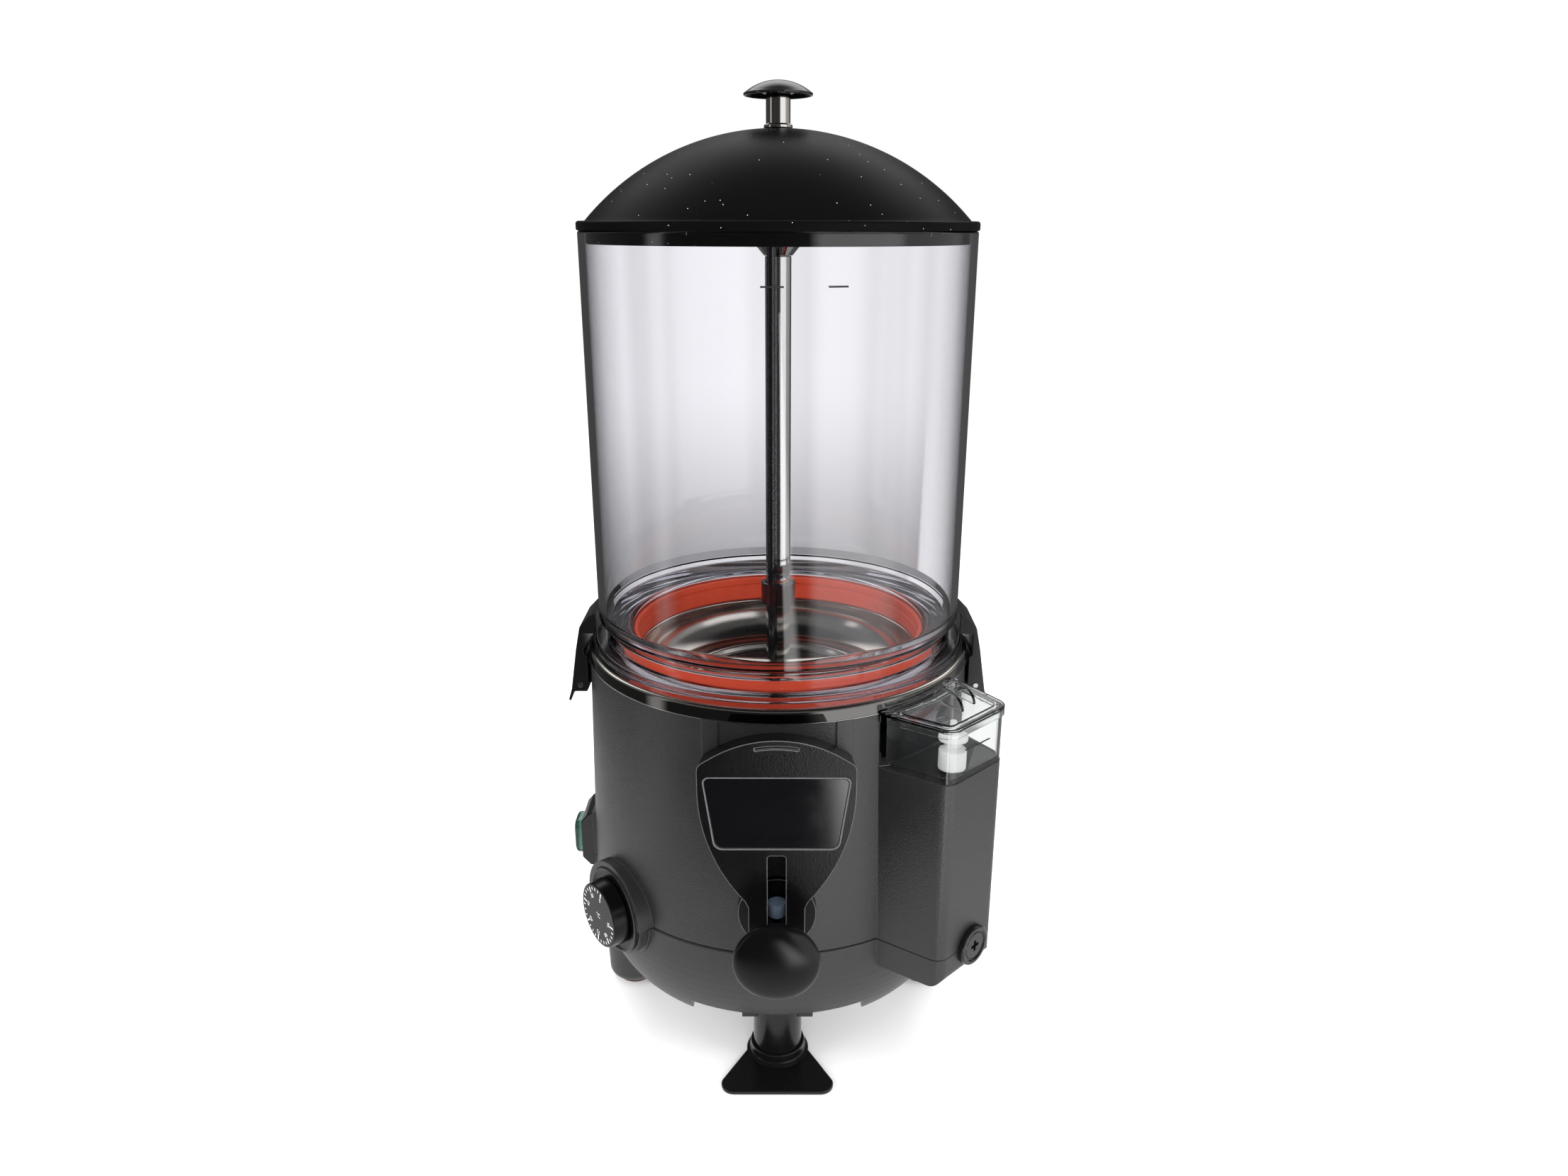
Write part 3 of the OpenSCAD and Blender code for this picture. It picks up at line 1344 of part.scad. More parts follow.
module heating_element() {
    ring_z = jacket_floor_z + sheet + heater_tube_r + 3;
    at_vessel() color("#7f7d7a") {
        translate([0, 0, ring_z]) rotate_extrude() translate([heater_ring_r, 0]) circle(r = heater_tube_r);
        for (side = [-1, 1]) translate([side * terminal_x, terminal_y, 0])
            translate([0, 0, jacket_floor_z - terminal_drop])
                cylinder(h = ring_z - jacket_floor_z + terminal_drop, r = heater_tube_r);
    }
}

module cutout_switch() {
    at_vessel() color("#b9b2a4") translate([-52, 20, jacket_floor_z - 9]) union() {
        translate([0, 0, 2]) cylinder(h = 7, r = 9);
        for (side = [-1, 1]) translate([side * 5, 0, 0]) cube([1.6, 5, 5], center = true);
    }
}

module motor_plate() {
    outer = rib_in + 12;
    at_vessel() color("#9b9b9e") difference() {
        union() {
            translate([0, 0, motor_plate_z]) cylinder(h = motor_plate_t, r = gear_case_r + 10);
            for (turn = rib_turns) rotate([0, 0, turn])
                block([gear_case_r, -9, motor_plate_z], [outer, 9, motor_plate_z + motor_plate_t]);
        }
        translate([0, 0, motor_plate_z - cut]) cylinder(h = 20, r = shaft_r + 6);
        for (turn = plate_screw_turns) rotate([0, 0, turn])
            translate([gear_case_r - 6, 0, motor_plate_z - cut]) cylinder(h = 10, r = screw_r + fit);
    }
}

plate_screw_turns = [45, 135, 225, 315];
screw_depth = 6;

module motor_screws() {
    at_vessel() color("#a8a8aa") for (turn = plate_screw_turns) rotate([0, 0, turn])
        translate([gear_case_r - 6, 0, motor_plate_z]) {
            translate([0, 0, motor_plate_t]) cylinder(h = 2.4, r = 3.2);
            translate([0, 0, -screw_depth]) cylinder(h = motor_plate_t + screw_depth, r = screw_r);
        }
}

module gear_case() {
    at_vessel() color("#85858a") difference() {
        union() {
            translate([0, 0, gear_case_z]) cylinder(h = gear_case_h, r = gear_case_r);
            translate([0, 0, gear_case_z + 4]) cylinder(h = 6, r = gear_case_r + 2);
        }
        translate([0, 0, shaft_bottom_z - 1]) cylinder(h = 60, r = shaft_r + fit);
        for (turn = plate_screw_turns) rotate([0, 0, turn])
            translate([gear_case_r - 6, 0, gear_case_top_z - screw_depth - 1])
                cylinder(h = 20, r = screw_r + fit);
    }
}

module gear_motor() {
    at_vessel() color("#5d5d62") union() {
        translate([0, 0, gear_case_z - motor_h]) cylinder(h = motor_h, r = motor_r);
        translate([0, 0, gear_case_z - motor_h - 4]) cylinder(h = 4, r = motor_r * 0.4);
    }
}

module cord_gland() {
    at_vessel() color("#1b1b1d") outward(180, gland_z) difference() {
        union() {
            translate([0, 0, seam_r - 12]) cylinder(h = 12, r = 6);
            translate([0, 0, seam_r]) cylinder(h = 3, r = gland_flange_r);
            translate([0, 0, seam_r + 3]) cylinder(h = gland_out - 3, r = 7.5);
        }
        translate([0, 0, seam_r - 20]) cylinder(h = 60, r = 3.6);
    }
}

lid_dome();
lid_knob();
lid_knob_stem();
lid_knob_screw();
bowl();
bowl_gasket();
basin();
column_tube();
drive_shaft();
upper_bush();
lower_bush();
shaft_coupling();
mixer_head();
mixer_cone();
mixer_rod();
upper_shell();
lower_pan();
bottom_cover();
cover_screws();
front_leg();
foot_plate();
rubber_feet();
left_latch();
right_latch();
latch_pins();
level_box();
level_lid();
level_float();
float_post();
drain_plug();
drain_pipe();
jacket_pipe();
tap_body();
tap_cover();
cover_panel();
tap_lever();
lever_knob();
lever_pin();
valve_rod();
valve_collar();
valve_piston();
outlet_pipe();
dial_plate();
dial_knob();
dial_shaft();
thermostat_body();
switch_housing();
switch_rocker();
switch_cap();
water_jacket();
jacket_seal();
heating_element();
cutout_switch();
gear_case();
gear_motor();
motor_plate();
motor_screws();
cord_gland();
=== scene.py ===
import bpy
import bmesh
import math
from mathutils import Matrix, Vector


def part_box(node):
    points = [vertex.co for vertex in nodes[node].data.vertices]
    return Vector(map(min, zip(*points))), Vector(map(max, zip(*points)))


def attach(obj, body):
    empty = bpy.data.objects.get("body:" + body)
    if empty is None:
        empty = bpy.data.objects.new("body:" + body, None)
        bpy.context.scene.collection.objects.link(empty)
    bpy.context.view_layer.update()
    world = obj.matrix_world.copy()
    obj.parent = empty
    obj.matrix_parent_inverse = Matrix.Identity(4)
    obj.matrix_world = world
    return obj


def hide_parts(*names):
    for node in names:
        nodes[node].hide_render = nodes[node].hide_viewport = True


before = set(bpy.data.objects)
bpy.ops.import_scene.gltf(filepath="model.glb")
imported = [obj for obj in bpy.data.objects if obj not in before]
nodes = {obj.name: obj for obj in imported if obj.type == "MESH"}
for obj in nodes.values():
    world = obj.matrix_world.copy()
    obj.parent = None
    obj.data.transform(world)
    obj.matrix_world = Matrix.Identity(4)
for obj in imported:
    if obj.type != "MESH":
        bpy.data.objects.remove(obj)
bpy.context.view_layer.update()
scene = bpy.context.scene
mm = 0.001


def moveBy(x, y, z):  # millimetres
    return Matrix.Translation((x * mm, y * mm, z * mm))


def turnBy(degrees, axis="X"):
    return Matrix.Rotation(math.radians(degrees), 4, axis)


def addObject(name, data):
    thing = bpy.data.objects.new(name, data)
    scene.collection.objects.link(thing)
    return thing


# the vessel's own axis, read from the round basin
basinLow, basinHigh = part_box("basin")
axisX = (basinLow.x + basinHigh.x) / 2
axisY = (basinLow.y + basinHigh.y) / 2
axisPlace = Matrix.Translation((axisX, axisY, 0))
upright = turnBy(90)  # local Z to the front, local Y up
print("frame in, vessel axis at", round(axisX, 5), round(axisY, 5))


# camera and light

view = {"side": 3.7, "back": 667, "height": 513, "pitch": 18.25, "roll": 0.0017, "lens": 25.26, "sensor": 36}

cameraData = bpy.data.cameras.new("photoCamera")
cameraData.lens = view["lens"]
cameraData.sensor_width = view["sensor"]
cameraData.clip_start = 20 * mm
camera = addObject("photoCamera", cameraData)
standAt = axisPlace @ moveBy(view["side"], -view["back"], view["height"])
camera.matrix_world = standAt @ turnBy(90 - view["pitch"]) @ Matrix.Rotation(view["roll"], 4, "Z")
scene.camera = camera
scene.view_settings.view_transform = "Standard"

lampAim = Vector((0, 0, 0.3))
lamps = {
    # place in metres, width, height, watts
    "topBox": ((0, -0.15, 1.75), 1.5, 1.1, 20),
    "leftBox": ((-1.35, -0.75, 0.75), 0.5, 1.3, 14),
    "rightBox": ((1.35, -0.75, 0.75), 0.5, 1.3, 14),
    "frontBox": ((0.1, -1.7, 0.85), 0.9, 0.6, 9),
}


def softBox(name, place, width, height, power):
    data = bpy.data.lights.new(name, "AREA")
    data.shape = "RECTANGLE"
    data.size = width
    data.size_y = height
    data.energy = power
    light = addObject(name, data)
    light.location = place
    light.rotation_euler = (lampAim - Vector(place)).to_track_quat("-Z", "Y").to_euler()
    # they light the object, but neither mirror in it nor show through it
    light.visible_glossy = False
    light.visible_transmission = False


for lampName, lamp in lamps.items():
    softBox(lampName, *lamp)

studio = {
    # degrees from straight behind the object, positive to its right, and how bright it is there
    "mirrored": [
        (-180, 0.04), (-116, 0.04), (-111, 0.9), (-106, 0.9), (-101, 0.05), (-14, 0.07), (-8, 0.3), (8, 0.3),
        (14, 0.08), (50, 0.1), (60, 0.35), (104, 0.55), (110, 1.35), (156, 1.35), (163, 0.05), (180, 0.04),
    ],
    "through": [
        (-180, 0.75), (-40, 0.75), (-20, 0.85), (-14, 1.15), (-11, 1.3), (-9.6, 1.0), (-8.6, 1.08), (-7.5, 1.0),
        (-6.9, 1.15), (-4.5, 1.2), (-2.5, 1.24), (0, 1.18), (1, 1.11), (2.2, 1.12), (3.3, 1.22), (4.6, 1.12),
        (5.2, 1.09), (5.7, 0.92), (6.6, 0.97), (7.6, 1.14), (8.6, 1.2), (9.6, 1.05), (11, 1.25), (14, 1.15),
        (20, 0.85), (40, 0.75), (180, 0.75),
    ],
    # what is mirrored higher up: bright behind the object, dim beside it and dark overhead
    "raisedFrom": (0.36, 0.55), "behindTo": (45.0, 70.0), "highBehind": 1.35, "highAside": 0.1,
    "overheadDark": (0.72, 0.9), "overheadLevel": 0.03,
    # what is seen through clear parts low down, left of the side given
    "lowSide": (9.4, 10.4), "lowFrom": (-0.12, -0.36), "lowThrough": 0.32,
}


def feed(tree, node, inputs):
    # by socket name or number: an output is linked, anything else is a fixed value
    for key, value in inputs.items() if isinstance(inputs, dict) else enumerate(inputs):
        socket = node.inputs[key]
        if isinstance(value, bpy.types.NodeSocket):
            tree.links.new(value, socket)
        elif value is not None:
            socket.default_value = (*value, 1) if socket.type == "RGBA" and len(value) == 3 else value
    return node


def newNode(tree, kind, inputs=(), **settings):
    node = tree.nodes.new("ShaderNode" + kind)
    for key, value in settings.items():
        setattr(node, key, value)
    return feed(tree, node, inputs)


def maths(tree, operation, *inputs):
    return newNode(tree, "Math", inputs, operation=operation).outputs[0]


def times(tree, first, second):
    return maths(tree, "MULTIPLY", first, second)


def ranged(tree, value, low, high, first, last, change="LINEAR"):
    return newNode(tree, "MapRange", (value, low, high, first, last), interpolation_type=change).outputs[0]


def eased(tree, value, low, high, first, last):
    return ranged(tree, value, low, high, first, last, "SMOOTHSTEP")


def degreesAround(tree, x, y):
    return times(tree, maths(tree, "ARCTAN2", x, y), 180 / math.pi)


def levels(tree, degrees, stops):
    ramp = newNode(tree, "ValToRGB", (ranged(tree, degrees, -180, 180, 0, 1),))
    top = max(level for _, level in stops)
    while len(ramp.color_ramp.elements) < len(stops):
        ramp.color_ramp.elements.new(0.5)
    for element, (spot, level) in zip(ramp.color_ramp.elements, stops):
        element.position = (spot + 180) / 360
        element.color = (level / top,) * 3 + (1,)
    return times(tree, ramp.outputs["Color"], top)


def lit(tree, kind, strength):
    return newNode(tree, kind, ((1, 1, 1), strength)).outputs[0]


def studioWorld(tree, v):
    # white to the camera; a room with lit strips to what mirrors it; darker sides seen through clear parts
    way = newNode(tree, "SeparateXYZ", (newNode(tree, "TexCoord").outputs["Generated"],)).outputs
    degrees = degreesAround(tree, way["X"], way["Y"])
    behind = eased(tree, maths(tree, "ABSOLUTE", degrees), *v["behindTo"], v["highBehind"], v["highAside"])
    dimmed = eased(tree, way["Z"], *v["overheadDark"], 1.0, v["overheadLevel"])
    raised = eased(tree, way["Z"], *v["raisedFrom"], 0.0, 1.0)
    high = times(tree, times(tree, behind, dimmed), raised)
    low = times(tree, levels(tree, degrees, v["mirrored"]), maths(tree, "SUBTRACT", 1.0, raised))
    mirrored = lit(tree, "Background", maths(tree, "ADD", low, high))
    beside = eased(tree, degrees, *v["lowSide"], 0.0, 1.0)
    dark = maths(tree, "MAXIMUM", beside, eased(tree, way["Z"], *v["lowFrom"], 1.0, v["lowThrough"]))
    through = lit(tree, "Background", times(tree, levels(tree, degrees, v["through"]), dark))
    white = feed(tree, tree.nodes["Background"], {"Color": (1, 1, 1)}).outputs[0]
    path = newNode(tree, "LightPath").outputs
    direct = maths(tree, "LESS_THAN", path["Diffuse Depth"], 0.5)
    passed = times(tree, maths(tree, "MINIMUM", path["Transmission Depth"], 1.0), direct)
    plain = newNode(tree, "MixShader", (passed, white, through)).outputs[0]
    once = maths(tree, "MINIMUM", path["Glossy Depth"], 1.0)
    mix = newNode(tree, "MixShader", (once, plain, mirrored)).outputs[0]
    feed(tree, tree.nodes["World Output"], {"Surface": mix})


world = bpy.data.worlds.new("studio")
scene.world = world
world.use_nodes = True
studioWorld(world.node_tree, studio)
print("camera and studio set")


# building blocks for materials

usual = (0.3, 0.7)  # where most of a noise's values lie


def newMaterial(name, inputs):
    material = bpy.data.materials.new(name)
    material.use_nodes = True
    tree = material.node_tree
    return material, tree, feed(tree, tree.nodes["Principled BSDF"], inputs)


def grey(level):
    return (level, level, level)


def pattern(tree, kind, scale, stretch=(1, 1, 1), **inputs):
    spot = newNode(tree, "TexCoord").outputs["Object"]
    mapping = newNode(tree, "Mapping", {"Vector": spot, "Scale": stretch})
    return newNode(tree, kind, {"Vector": mapping.outputs["Vector"], "Scale": scale, **inputs}).outputs


def noise(tree, scale, detail=2.0, rough=0.5, stretch=(1, 1, 1)):
    return pattern(tree, "TexNoise", scale, stretch, Detail=detail, Roughness=rough)["Fac"]


def twoTone(tree, factor, first, second):
    # a colour mix keeps its factor in socket 0, its colours in 6 and 7, its result in 2
    return newNode(tree, "Mix", {0: factor, 6: first, 7: second}, data_type="RGBA").outputs[2]


def softEdge(tree, radius):
    return newNode(tree, "Bevel", {"Radius": radius * mm}, samples=4).outputs["Normal"]


def addBump(tree, shader, height, strength, distance, edge=None):
    inputs = {"Height": height, "Strength": strength, "Distance": distance * mm, "Normal": edge}
    feed(tree, shader, {"Normal": newNode(tree, "Bump", inputs).outputs["Normal"]})


# materials

def grainedPlastic(name, dark, light, grain, depth, edge, roughness, shine, edgeHighlight):
    material, tree, shader = newMaterial(name, {"Specular IOR Level": shine})
    cells = pattern(tree, "TexVoronoi", grain, Randomness=1.0)["Distance"]
    height = maths(tree, "MULTIPLY_ADD", noise(tree, grain * 1.7, 3.0, 0.6), 0.35, cells)
    clouds = noise(tree, 14, 5.0, 0.6)
    tone = twoTone(tree, ranged(tree, clouds, *usual, 0, 1), dark, light)
    # painted highlight along the edges: the base colour is lightened where they round off, standing in for the
    # light they catch
    rounding = softEdge(tree, edge)
    flat = newNode(tree, "NewGeometry").outputs["Normal"]
    along = newNode(tree, "VectorMath", (rounding, flat), operation="DOT_PRODUCT").outputs["Value"]
    tone = twoTone(tree, ranged(tree, along, 0.86, 0.98, 1.0, 0.0), tone, grey(edgeHighlight))
    feed(tree, shader, {"Base Color": tone, "Roughness": ranged(tree, clouds, *usual, *roughness)})
    addBump(tree, shader, height, 0.55, depth, rounding)
    return material


def glossyPlastic(name, tone, roughness=(0.08, 0.2), edge=0.5, coat=0.3):
    fixed = {"Base Color": tone, "Specular IOR Level": 0.5, "Coat Weight": coat, "Coat Roughness": 0.08}
    material, tree, shader = newMaterial(name, fixed)
    feed(tree, shader, {"Roughness": ranged(tree, noise(tree, 45, 6.0, 0.65), 0.35, 0.7, *roughness)})
    addBump(tree, shader, noise(tree, 160), 0.12, 0.05, softEdge(tree, edge))
    return material


def turnedSteel(name, tone, roughness, rings):
    # brushed in circles round the vessel's axis
    material, tree, shader = newMaterial(name, {"Metallic": 1.0})
    spot = newNode(tree, "TexCoord").outputs["Object"]
    shifted = newNode(tree, "VectorMath", (spot, (axisX, axisY, 0)), operation="SUBTRACT").outputs[0]
    flat = newNode(tree, "VectorMath", (shifted, (1, 1, 0)), operation="MULTIPLY").outputs[0]
    reach = newNode(tree, "VectorMath", (flat,), operation="LENGTH").outputs["Value"]
    height = newNode(tree, "SeparateXYZ", (shifted,)).outputs["Z"]
    ring = newNode(tree, "CombineXYZ", {"X": reach, "Y": height}).outputs[0]
    brushed = {"Vector": ring, "Scale": rings, "Detail": 4.0, "Roughness": 0.7}
    lines = newNode(tree, "TexNoise", brushed).outputs["Fac"]
    feed(tree, shader, {
        "Base Color": twoTone(tree, noise(tree, 22, 4.0), tone, [0.9 * c for c in tone]),
        "Roughness": ranged(tree, lines, *usual, roughness - 0.04, roughness + 0.05),
    })
    addBump(tree, shader, lines, 0.1, 0.03, softEdge(tree, 0.4))
    return material


def brightSteel(name, tone, roughness=0.1):
    material, tree, shader = newMaterial(name, {"Metallic": 1.0, "Base Color": tone})
    streak = noise(tree, 300, 4.0, stretch=(1, 1, 0.02))
    feed(tree, shader, {"Roughness": ranged(tree, streak, *usual, roughness * 0.6, roughness * 1.6)})
    addBump(tree, shader, streak, 0.06, 0.02, softEdge(tree, 0.3))
    return material


def plainMetal(name, tone, roughness, scale=260):
    material, tree, shader = newMaterial(name, {"Metallic": 1.0})
    mottle = noise(tree, scale, 6.0, 0.7)
    feed(tree, shader, {
        "Base Color": twoTone(tree, mottle, tone, [0.6 * c for c in tone]),
        "Roughness": ranged(tree, mottle, 0.0, 1.0, roughness - 0.08, roughness + 0.12),
    })
    addBump(tree, shader, mottle, 0.3, 0.1, softEdge(tree, 0.5))
    return material


def softMoulding(name, dark, light, roughness, scale=90, glow=0.0):
    fixed = {"Specular IOR Level": 0.4, "Subsurface Weight": glow, "Subsurface Radius": (0.004, 0.001, 0.0006)}
    material, tree, shader = newMaterial(name, fixed)
    cloud = noise(tree, scale, 5.0, 0.6)
    feed(tree, shader, {
        "Base Color": twoTone(tree, cloud, dark, light),
        "Roughness": ranged(tree, cloud, *usual, roughness - 0.08, roughness + 0.08),
    })
    addBump(tree, shader, cloud, 0.15, 0.1, softEdge(tree, 0.4))
    return material


def clearPlastic(name, tint, swallowed=None, density=24.0):
    # clear moulding: lamps pass it, so what it holds isn't left dark
    fixed = {"Base Color": tint, "Transmission Weight": 1.0, "IOR": 1.49, "Roughness": 0.01}
    material, tree, shader = newMaterial(name, fixed)
    addBump(tree, shader, noise(tree, 160), 0.05, 0.05)
    shadow = newNode(tree, "LightPath").outputs["Is Shadow Ray"]
    clear = newNode(tree, "BsdfTransparent", {"Color": (0.93, 0.93, 0.95)}).outputs[0]
    mix = newNode(tree, "MixShader", (shadow, shader.outputs[0], clear)).outputs[0]
    feed(tree, tree.nodes["Material Output"], {"Surface": mix})
    if swallowed:
        # the long way through the wall at its edges is darker
        depth = newNode(tree, "VolumeAbsorption", {"Color": swallowed, "Density": density}).outputs[0]
        feed(tree, tree.nodes["Material Output"], {"Volume": depth})
    return material


def speckledLid(name, tone, speck, cellScale=230, speckSize=0.055):
    material, tree, shader = newMaterial(name, {"Specular IOR Level": 0.05})
    cells = pattern(tree, "TexVoronoi", cellScale, Randomness=1.0)
    chosen = newNode(tree, "SeparateColor", (cells["Color"],)).outputs[0]
    # a small dot in about half of the cells
    dots = times(tree, maths(tree, "LESS_THAN", cells["Distance"], speckSize),
                 maths(tree, "GREATER_THAN", chosen, 0.5))
    feed(tree, shader, {
        "Base Color": twoTone(tree, dots, tone, speck),
        "Roughness": ranged(tree, noise(tree, 9, 4.0), *usual, 0.3, 0.42),
    })
    addBump(tree, shader, noise(tree, 900, 3.0), 0.12, 0.05)
    return material


# edgeHighlight lightens each colour along its edges, a painted highlight
bodyPlastic = grainedPlastic("bodyPlastic", (0.011, 0.0112, 0.0115), (0.017, 0.0172, 0.0175),
                             grain=1100, depth=0.2, edge=0.8, roughness=(0.32, 0.42), shine=0.8, edgeHighlight=0.04)
coverPlastic = grainedPlastic("coverPlastic", (0.0016, 0.0016, 0.0019), (0.0032, 0.0032, 0.0036),
                              grain=1500, depth=0.1, edge=0.9, roughness=(0.18, 0.28), shine=0.26, edgeHighlight=0.2)
knobPlastic = grainedPlastic("knobPlastic", (0.0016, 0.0016, 0.0019), (0.0024, 0.0024, 0.0028),
                             grain=2600, depth=0.03, edge=0.5, roughness=(0.16, 0.26), shine=0.3, edgeHighlight=0.05)
lidPlastic = speckledLid("lidPlastic", grey(0.0022), grey(0.6))
glossBlack = glossyPlastic("glossBlack", (0.006, 0.006, 0.007))
legPlastic = glossyPlastic("legPlastic", (0.004, 0.004, 0.0045), (0.18, 0.3), 0.8, 0.05)
panelBlack = glossyPlastic("panelBlack", (0.002, 0.002, 0.0026), (0.08, 0.15), 0.4)
rodBlack = glossyPlastic("rodBlack", (0.004, 0.004, 0.005), (0.05, 0.12), 0.3, 0.6)
# a grey for the panel's border bead: painted highlight standing in for the light its edge catches
borderHighlightGrey = glossyPlastic("borderHighlightGrey", (0.09, 0.09, 0.095), (0.12, 0.2), 0.2, 0.5)
bowlClear = clearPlastic("bowlClear", (0.97, 0.97, 0.98), swallowed=(0.15, 0.13, 0.3))
boxClear = clearPlastic("boxClear", (0.97, 0.985, 0.98))
capClear = clearPlastic("capClear", (0.5, 0.86, 0.74))
basinSteel = turnedSteel("basinSteel", (0.74, 0.7, 0.64), 0.15, 1400)
polishedSteel = brightSteel("polishedSteel", (0.62, 0.6, 0.57))
# dark steel for the rim band: painted shade standing in for the dark room it mirrors
shadedRimSteel = brightSteel("shadedRimSteel", (0.17, 0.165, 0.16), 0.06)
columnSteel = brightSteel("columnSteel", (0.8, 0.78, 0.75), 0.05)
zincPlate = plainMetal("zincPlate", (0.55, 0.55, 0.57), 0.35)
castGrey = plainMetal("castGrey", (0.28, 0.28, 0.3), 0.5, 140)
redSilicone = softMoulding("redSilicone", (0.74, 0.07, 0.03), (0.86, 0.12, 0.05), 0.42, glow=0.25)
whitePlastic = softMoulding("whitePlastic", (0.75, 0.75, 0.73), (0.84, 0.84, 0.82), 0.4, 120, 0.1)
footRubber = softMoulding("footRubber", (0.075, 0.014, 0.01), (0.05, 0.01, 0.008), 0.65, 200)
greenLens = softMoulding("greenLens", (0.0, 0.3, 0.17), (0.01, 0.42, 0.25), 0.2, 60, 0.3)
blueCollar = softMoulding("blueCollar", (0.2, 0.28, 0.4), (0.26, 0.33, 0.45), 0.3, 100)
ceramicBody = softMoulding("ceramicBody", (0.55, 0.5, 0.4), (0.63, 0.58, 0.48), 0.6)
blackRubber = softMoulding("blackRubber", grey(0.012), grey(0.02), 0.6)
printBlack = softMoulding("printBlack", grey(0.01), grey(0.016), 0.5, 400)
printWhite = softMoulding("printWhite", grey(0.7), grey(0.8), 0.5, 400)

# the nodes shown as they are; every other one is replaced by a piece below
finishOf = {
    bodyPlastic: "upper_shell lower_pan bottom_cover",
    coverPlastic: "tap_body",
    glossBlack: "cord_gland tap_lever",
    legPlastic: "front_leg",
    redSilicone: "jacket_seal",
    basinSteel: "water_jacket outlet_pipe",
    polishedSteel: "latch_pins lever_pin valve_rod",
    whitePlastic: "upper_bush lower_bush",
    blueCollar: "valve_collar",
    zincPlate: "lid_knob_screw cover_screws drain_pipe jacket_pipe dial_shaft motor_plate motor_screws "
               "shaft_coupling drive_shaft gear_motor",
    castGrey: "gear_case heating_element",
    ceramicBody: "thermostat_body cutout_switch",
    blackRubber: "valve_piston",
}
for material, names in finishOf.items():
    for name in names.split():
        nodes[name].data.materials.clear()
        nodes[name].data.materials.append(material)
print("materials made")


# building blocks for meshes

def rounded(corners, steps=4, closed=True, radius=0):
    # fillets an outline's corners; a third number in a corner is its own radius
    result = []
    spots = [Vector(c[:2]) for c in corners]
    for i, corner in enumerate(spots):
        size = corners[i][2] if len(corners[i]) > 2 else radius
        before = spots[i - 1] - corner
        after = spots[(i + 1) % len(spots)] - corner
        isEnd = not closed and i in (0, len(spots) - 1)
        half = 0 if size <= 0 or isEnd else before.angle(after) / 2
        if not 0 < half <= math.radians(88):
            result.append(tuple(corner))
            continue
        reach = min(size / math.tan(half), 0.48 * before.length, 0.48 * after.length)
        size = reach * math.tan(half)
        before.normalize()
        after.normalize()
        centre = corner + (before + after).normalized() * (size / math.sin(half))
        start = corner + before * reach - centre
        end = corner + after * reach - centre
        sweep = start.angle(end)
        for k in range(steps + 1):
            t = k / steps
            out = (start * math.sin((1 - t) * sweep) + end * math.sin(t * sweep)) / math.sin(sweep)
            result.append(tuple(centre + out))
    return result


def arcPoints(cx, cy, radius, first, last, steps):
    angles = [math.radians(first + (last - first) * k / steps) for k in range(steps + 1)]
    return [(cx + radius * math.cos(a), cy + radius * math.sin(a)) for a in angles]


def circlePoints(cx, cy, radius, count):
    return arcPoints(cx, cy, radius, 0, 360 - 360 / count, count - 1)


def addPiece(name, points, faces, material, body, place=None, sharp=38, bevel=0.0, bevelOver=40):
    mesh = bpy.data.meshes.new(name)
    mesh.from_pydata([tuple(c * mm for c in p) for p in points], [], faces)
    work = bmesh.new()
    work.from_mesh(mesh)
    bmesh.ops.remove_doubles(work, verts=work.verts, dist=1e-7)
    if bevel:
        corner = math.radians(bevelOver)
        edges = [e for e in work.edges if len(e.link_faces) == 2 and e.calc_face_angle(0) > corner]
        bmesh.ops.bevel(work, geom=edges, offset=bevel * mm, offset_type="OFFSET", segments=3,
                        profile=0.5, affect="EDGES", clamp_overlap=True)
    bmesh.ops.recalc_face_normals(work, faces=work.faces)
    work.to_mesh(mesh)
    work.free()
    mesh.transform(axisPlace @ (place or Matrix()))
    mesh.materials.append(material)
    piece = addObject(name, mesh)
    piece["body"] = body
    smoothOff(piece, sharp)
    return piece


def smoothOff(piece, sharp=38):
    mesh = piece.data
    mesh.polygons.foreach_set("use_smooth", [True] * len(mesh.polygons))
    mesh.set_sharp_from_angle(angle=math.radians(sharp))
    even = piece.modifiers.new("evenShade", "WEIGHTED_NORMAL")
    even.keep_sharp = True


def settle(piece, *stands):
    # onto its body, in place of the CAD nodes named
    body = piece["body"]
    del piece["body"]
    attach(piece, body)
    if stands:
        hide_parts(*stands)


def carve(piece, *cutters):
    piece.modifiers.clear()
    for cutter in cutters:
        cutter.modifiers.clear()
        change = piece.modifiers.new("cut", "BOOLEAN")
        change.object = cutter
        change.solver = "EXACT"
    bpy.context.view_layer.update()
    shaped = bpy.data.meshes.new_from_object(piece.evaluated_get(bpy.context.evaluated_depsgraph_get()))
    piece.modifiers.clear()
    piece.data = shaped
    for cutter in cutters:
        bpy.data.objects.remove(cutter)
    smoothOff(piece)
    return piece


def stack(name, loops, material, body, place=None, ring=False, capped=True, **more):
    # loops with equal numbers of points, skinned one to the next
    count, total = len(loops[0]), len(loops[0]) * len(loops)
    points = [p for loop in loops for p in loop]
    faces = []
    for low in range(0, total if ring else total - count, count):
        high = (low + count) % total
        for k in range(count):
            n = (k + 1) % count
            faces.append((low + k, low + n, high + n, high + k))
    if capped:
        faces.append(tuple(range(count))[::-1])
        faces.append(tuple(range(total - count, total)))
    return addPiece(name, points, faces, material, body, place, **more)


def lathe(name, section, material, body, place=None, count=192):
    # a section of (radius, height) points turned round the local Z axis, open if it starts on it
    circle = [2 * math.pi * k / count for k in range(count)]
    loops = [[(r * math.cos(a), r * math.sin(a), height) for a in circle] for r, height in section]
    return stack(name, loops, material, body, place, ring=section[0][0] > 0, capped=False)


def turned(name, corners, material, body, place=None, steps=4, count=192):
    # a lathe piece from (radius, height, fillet) corners
    return lathe(name, rounded(corners, steps, corners[0][0] > 0), material, body, place, count)


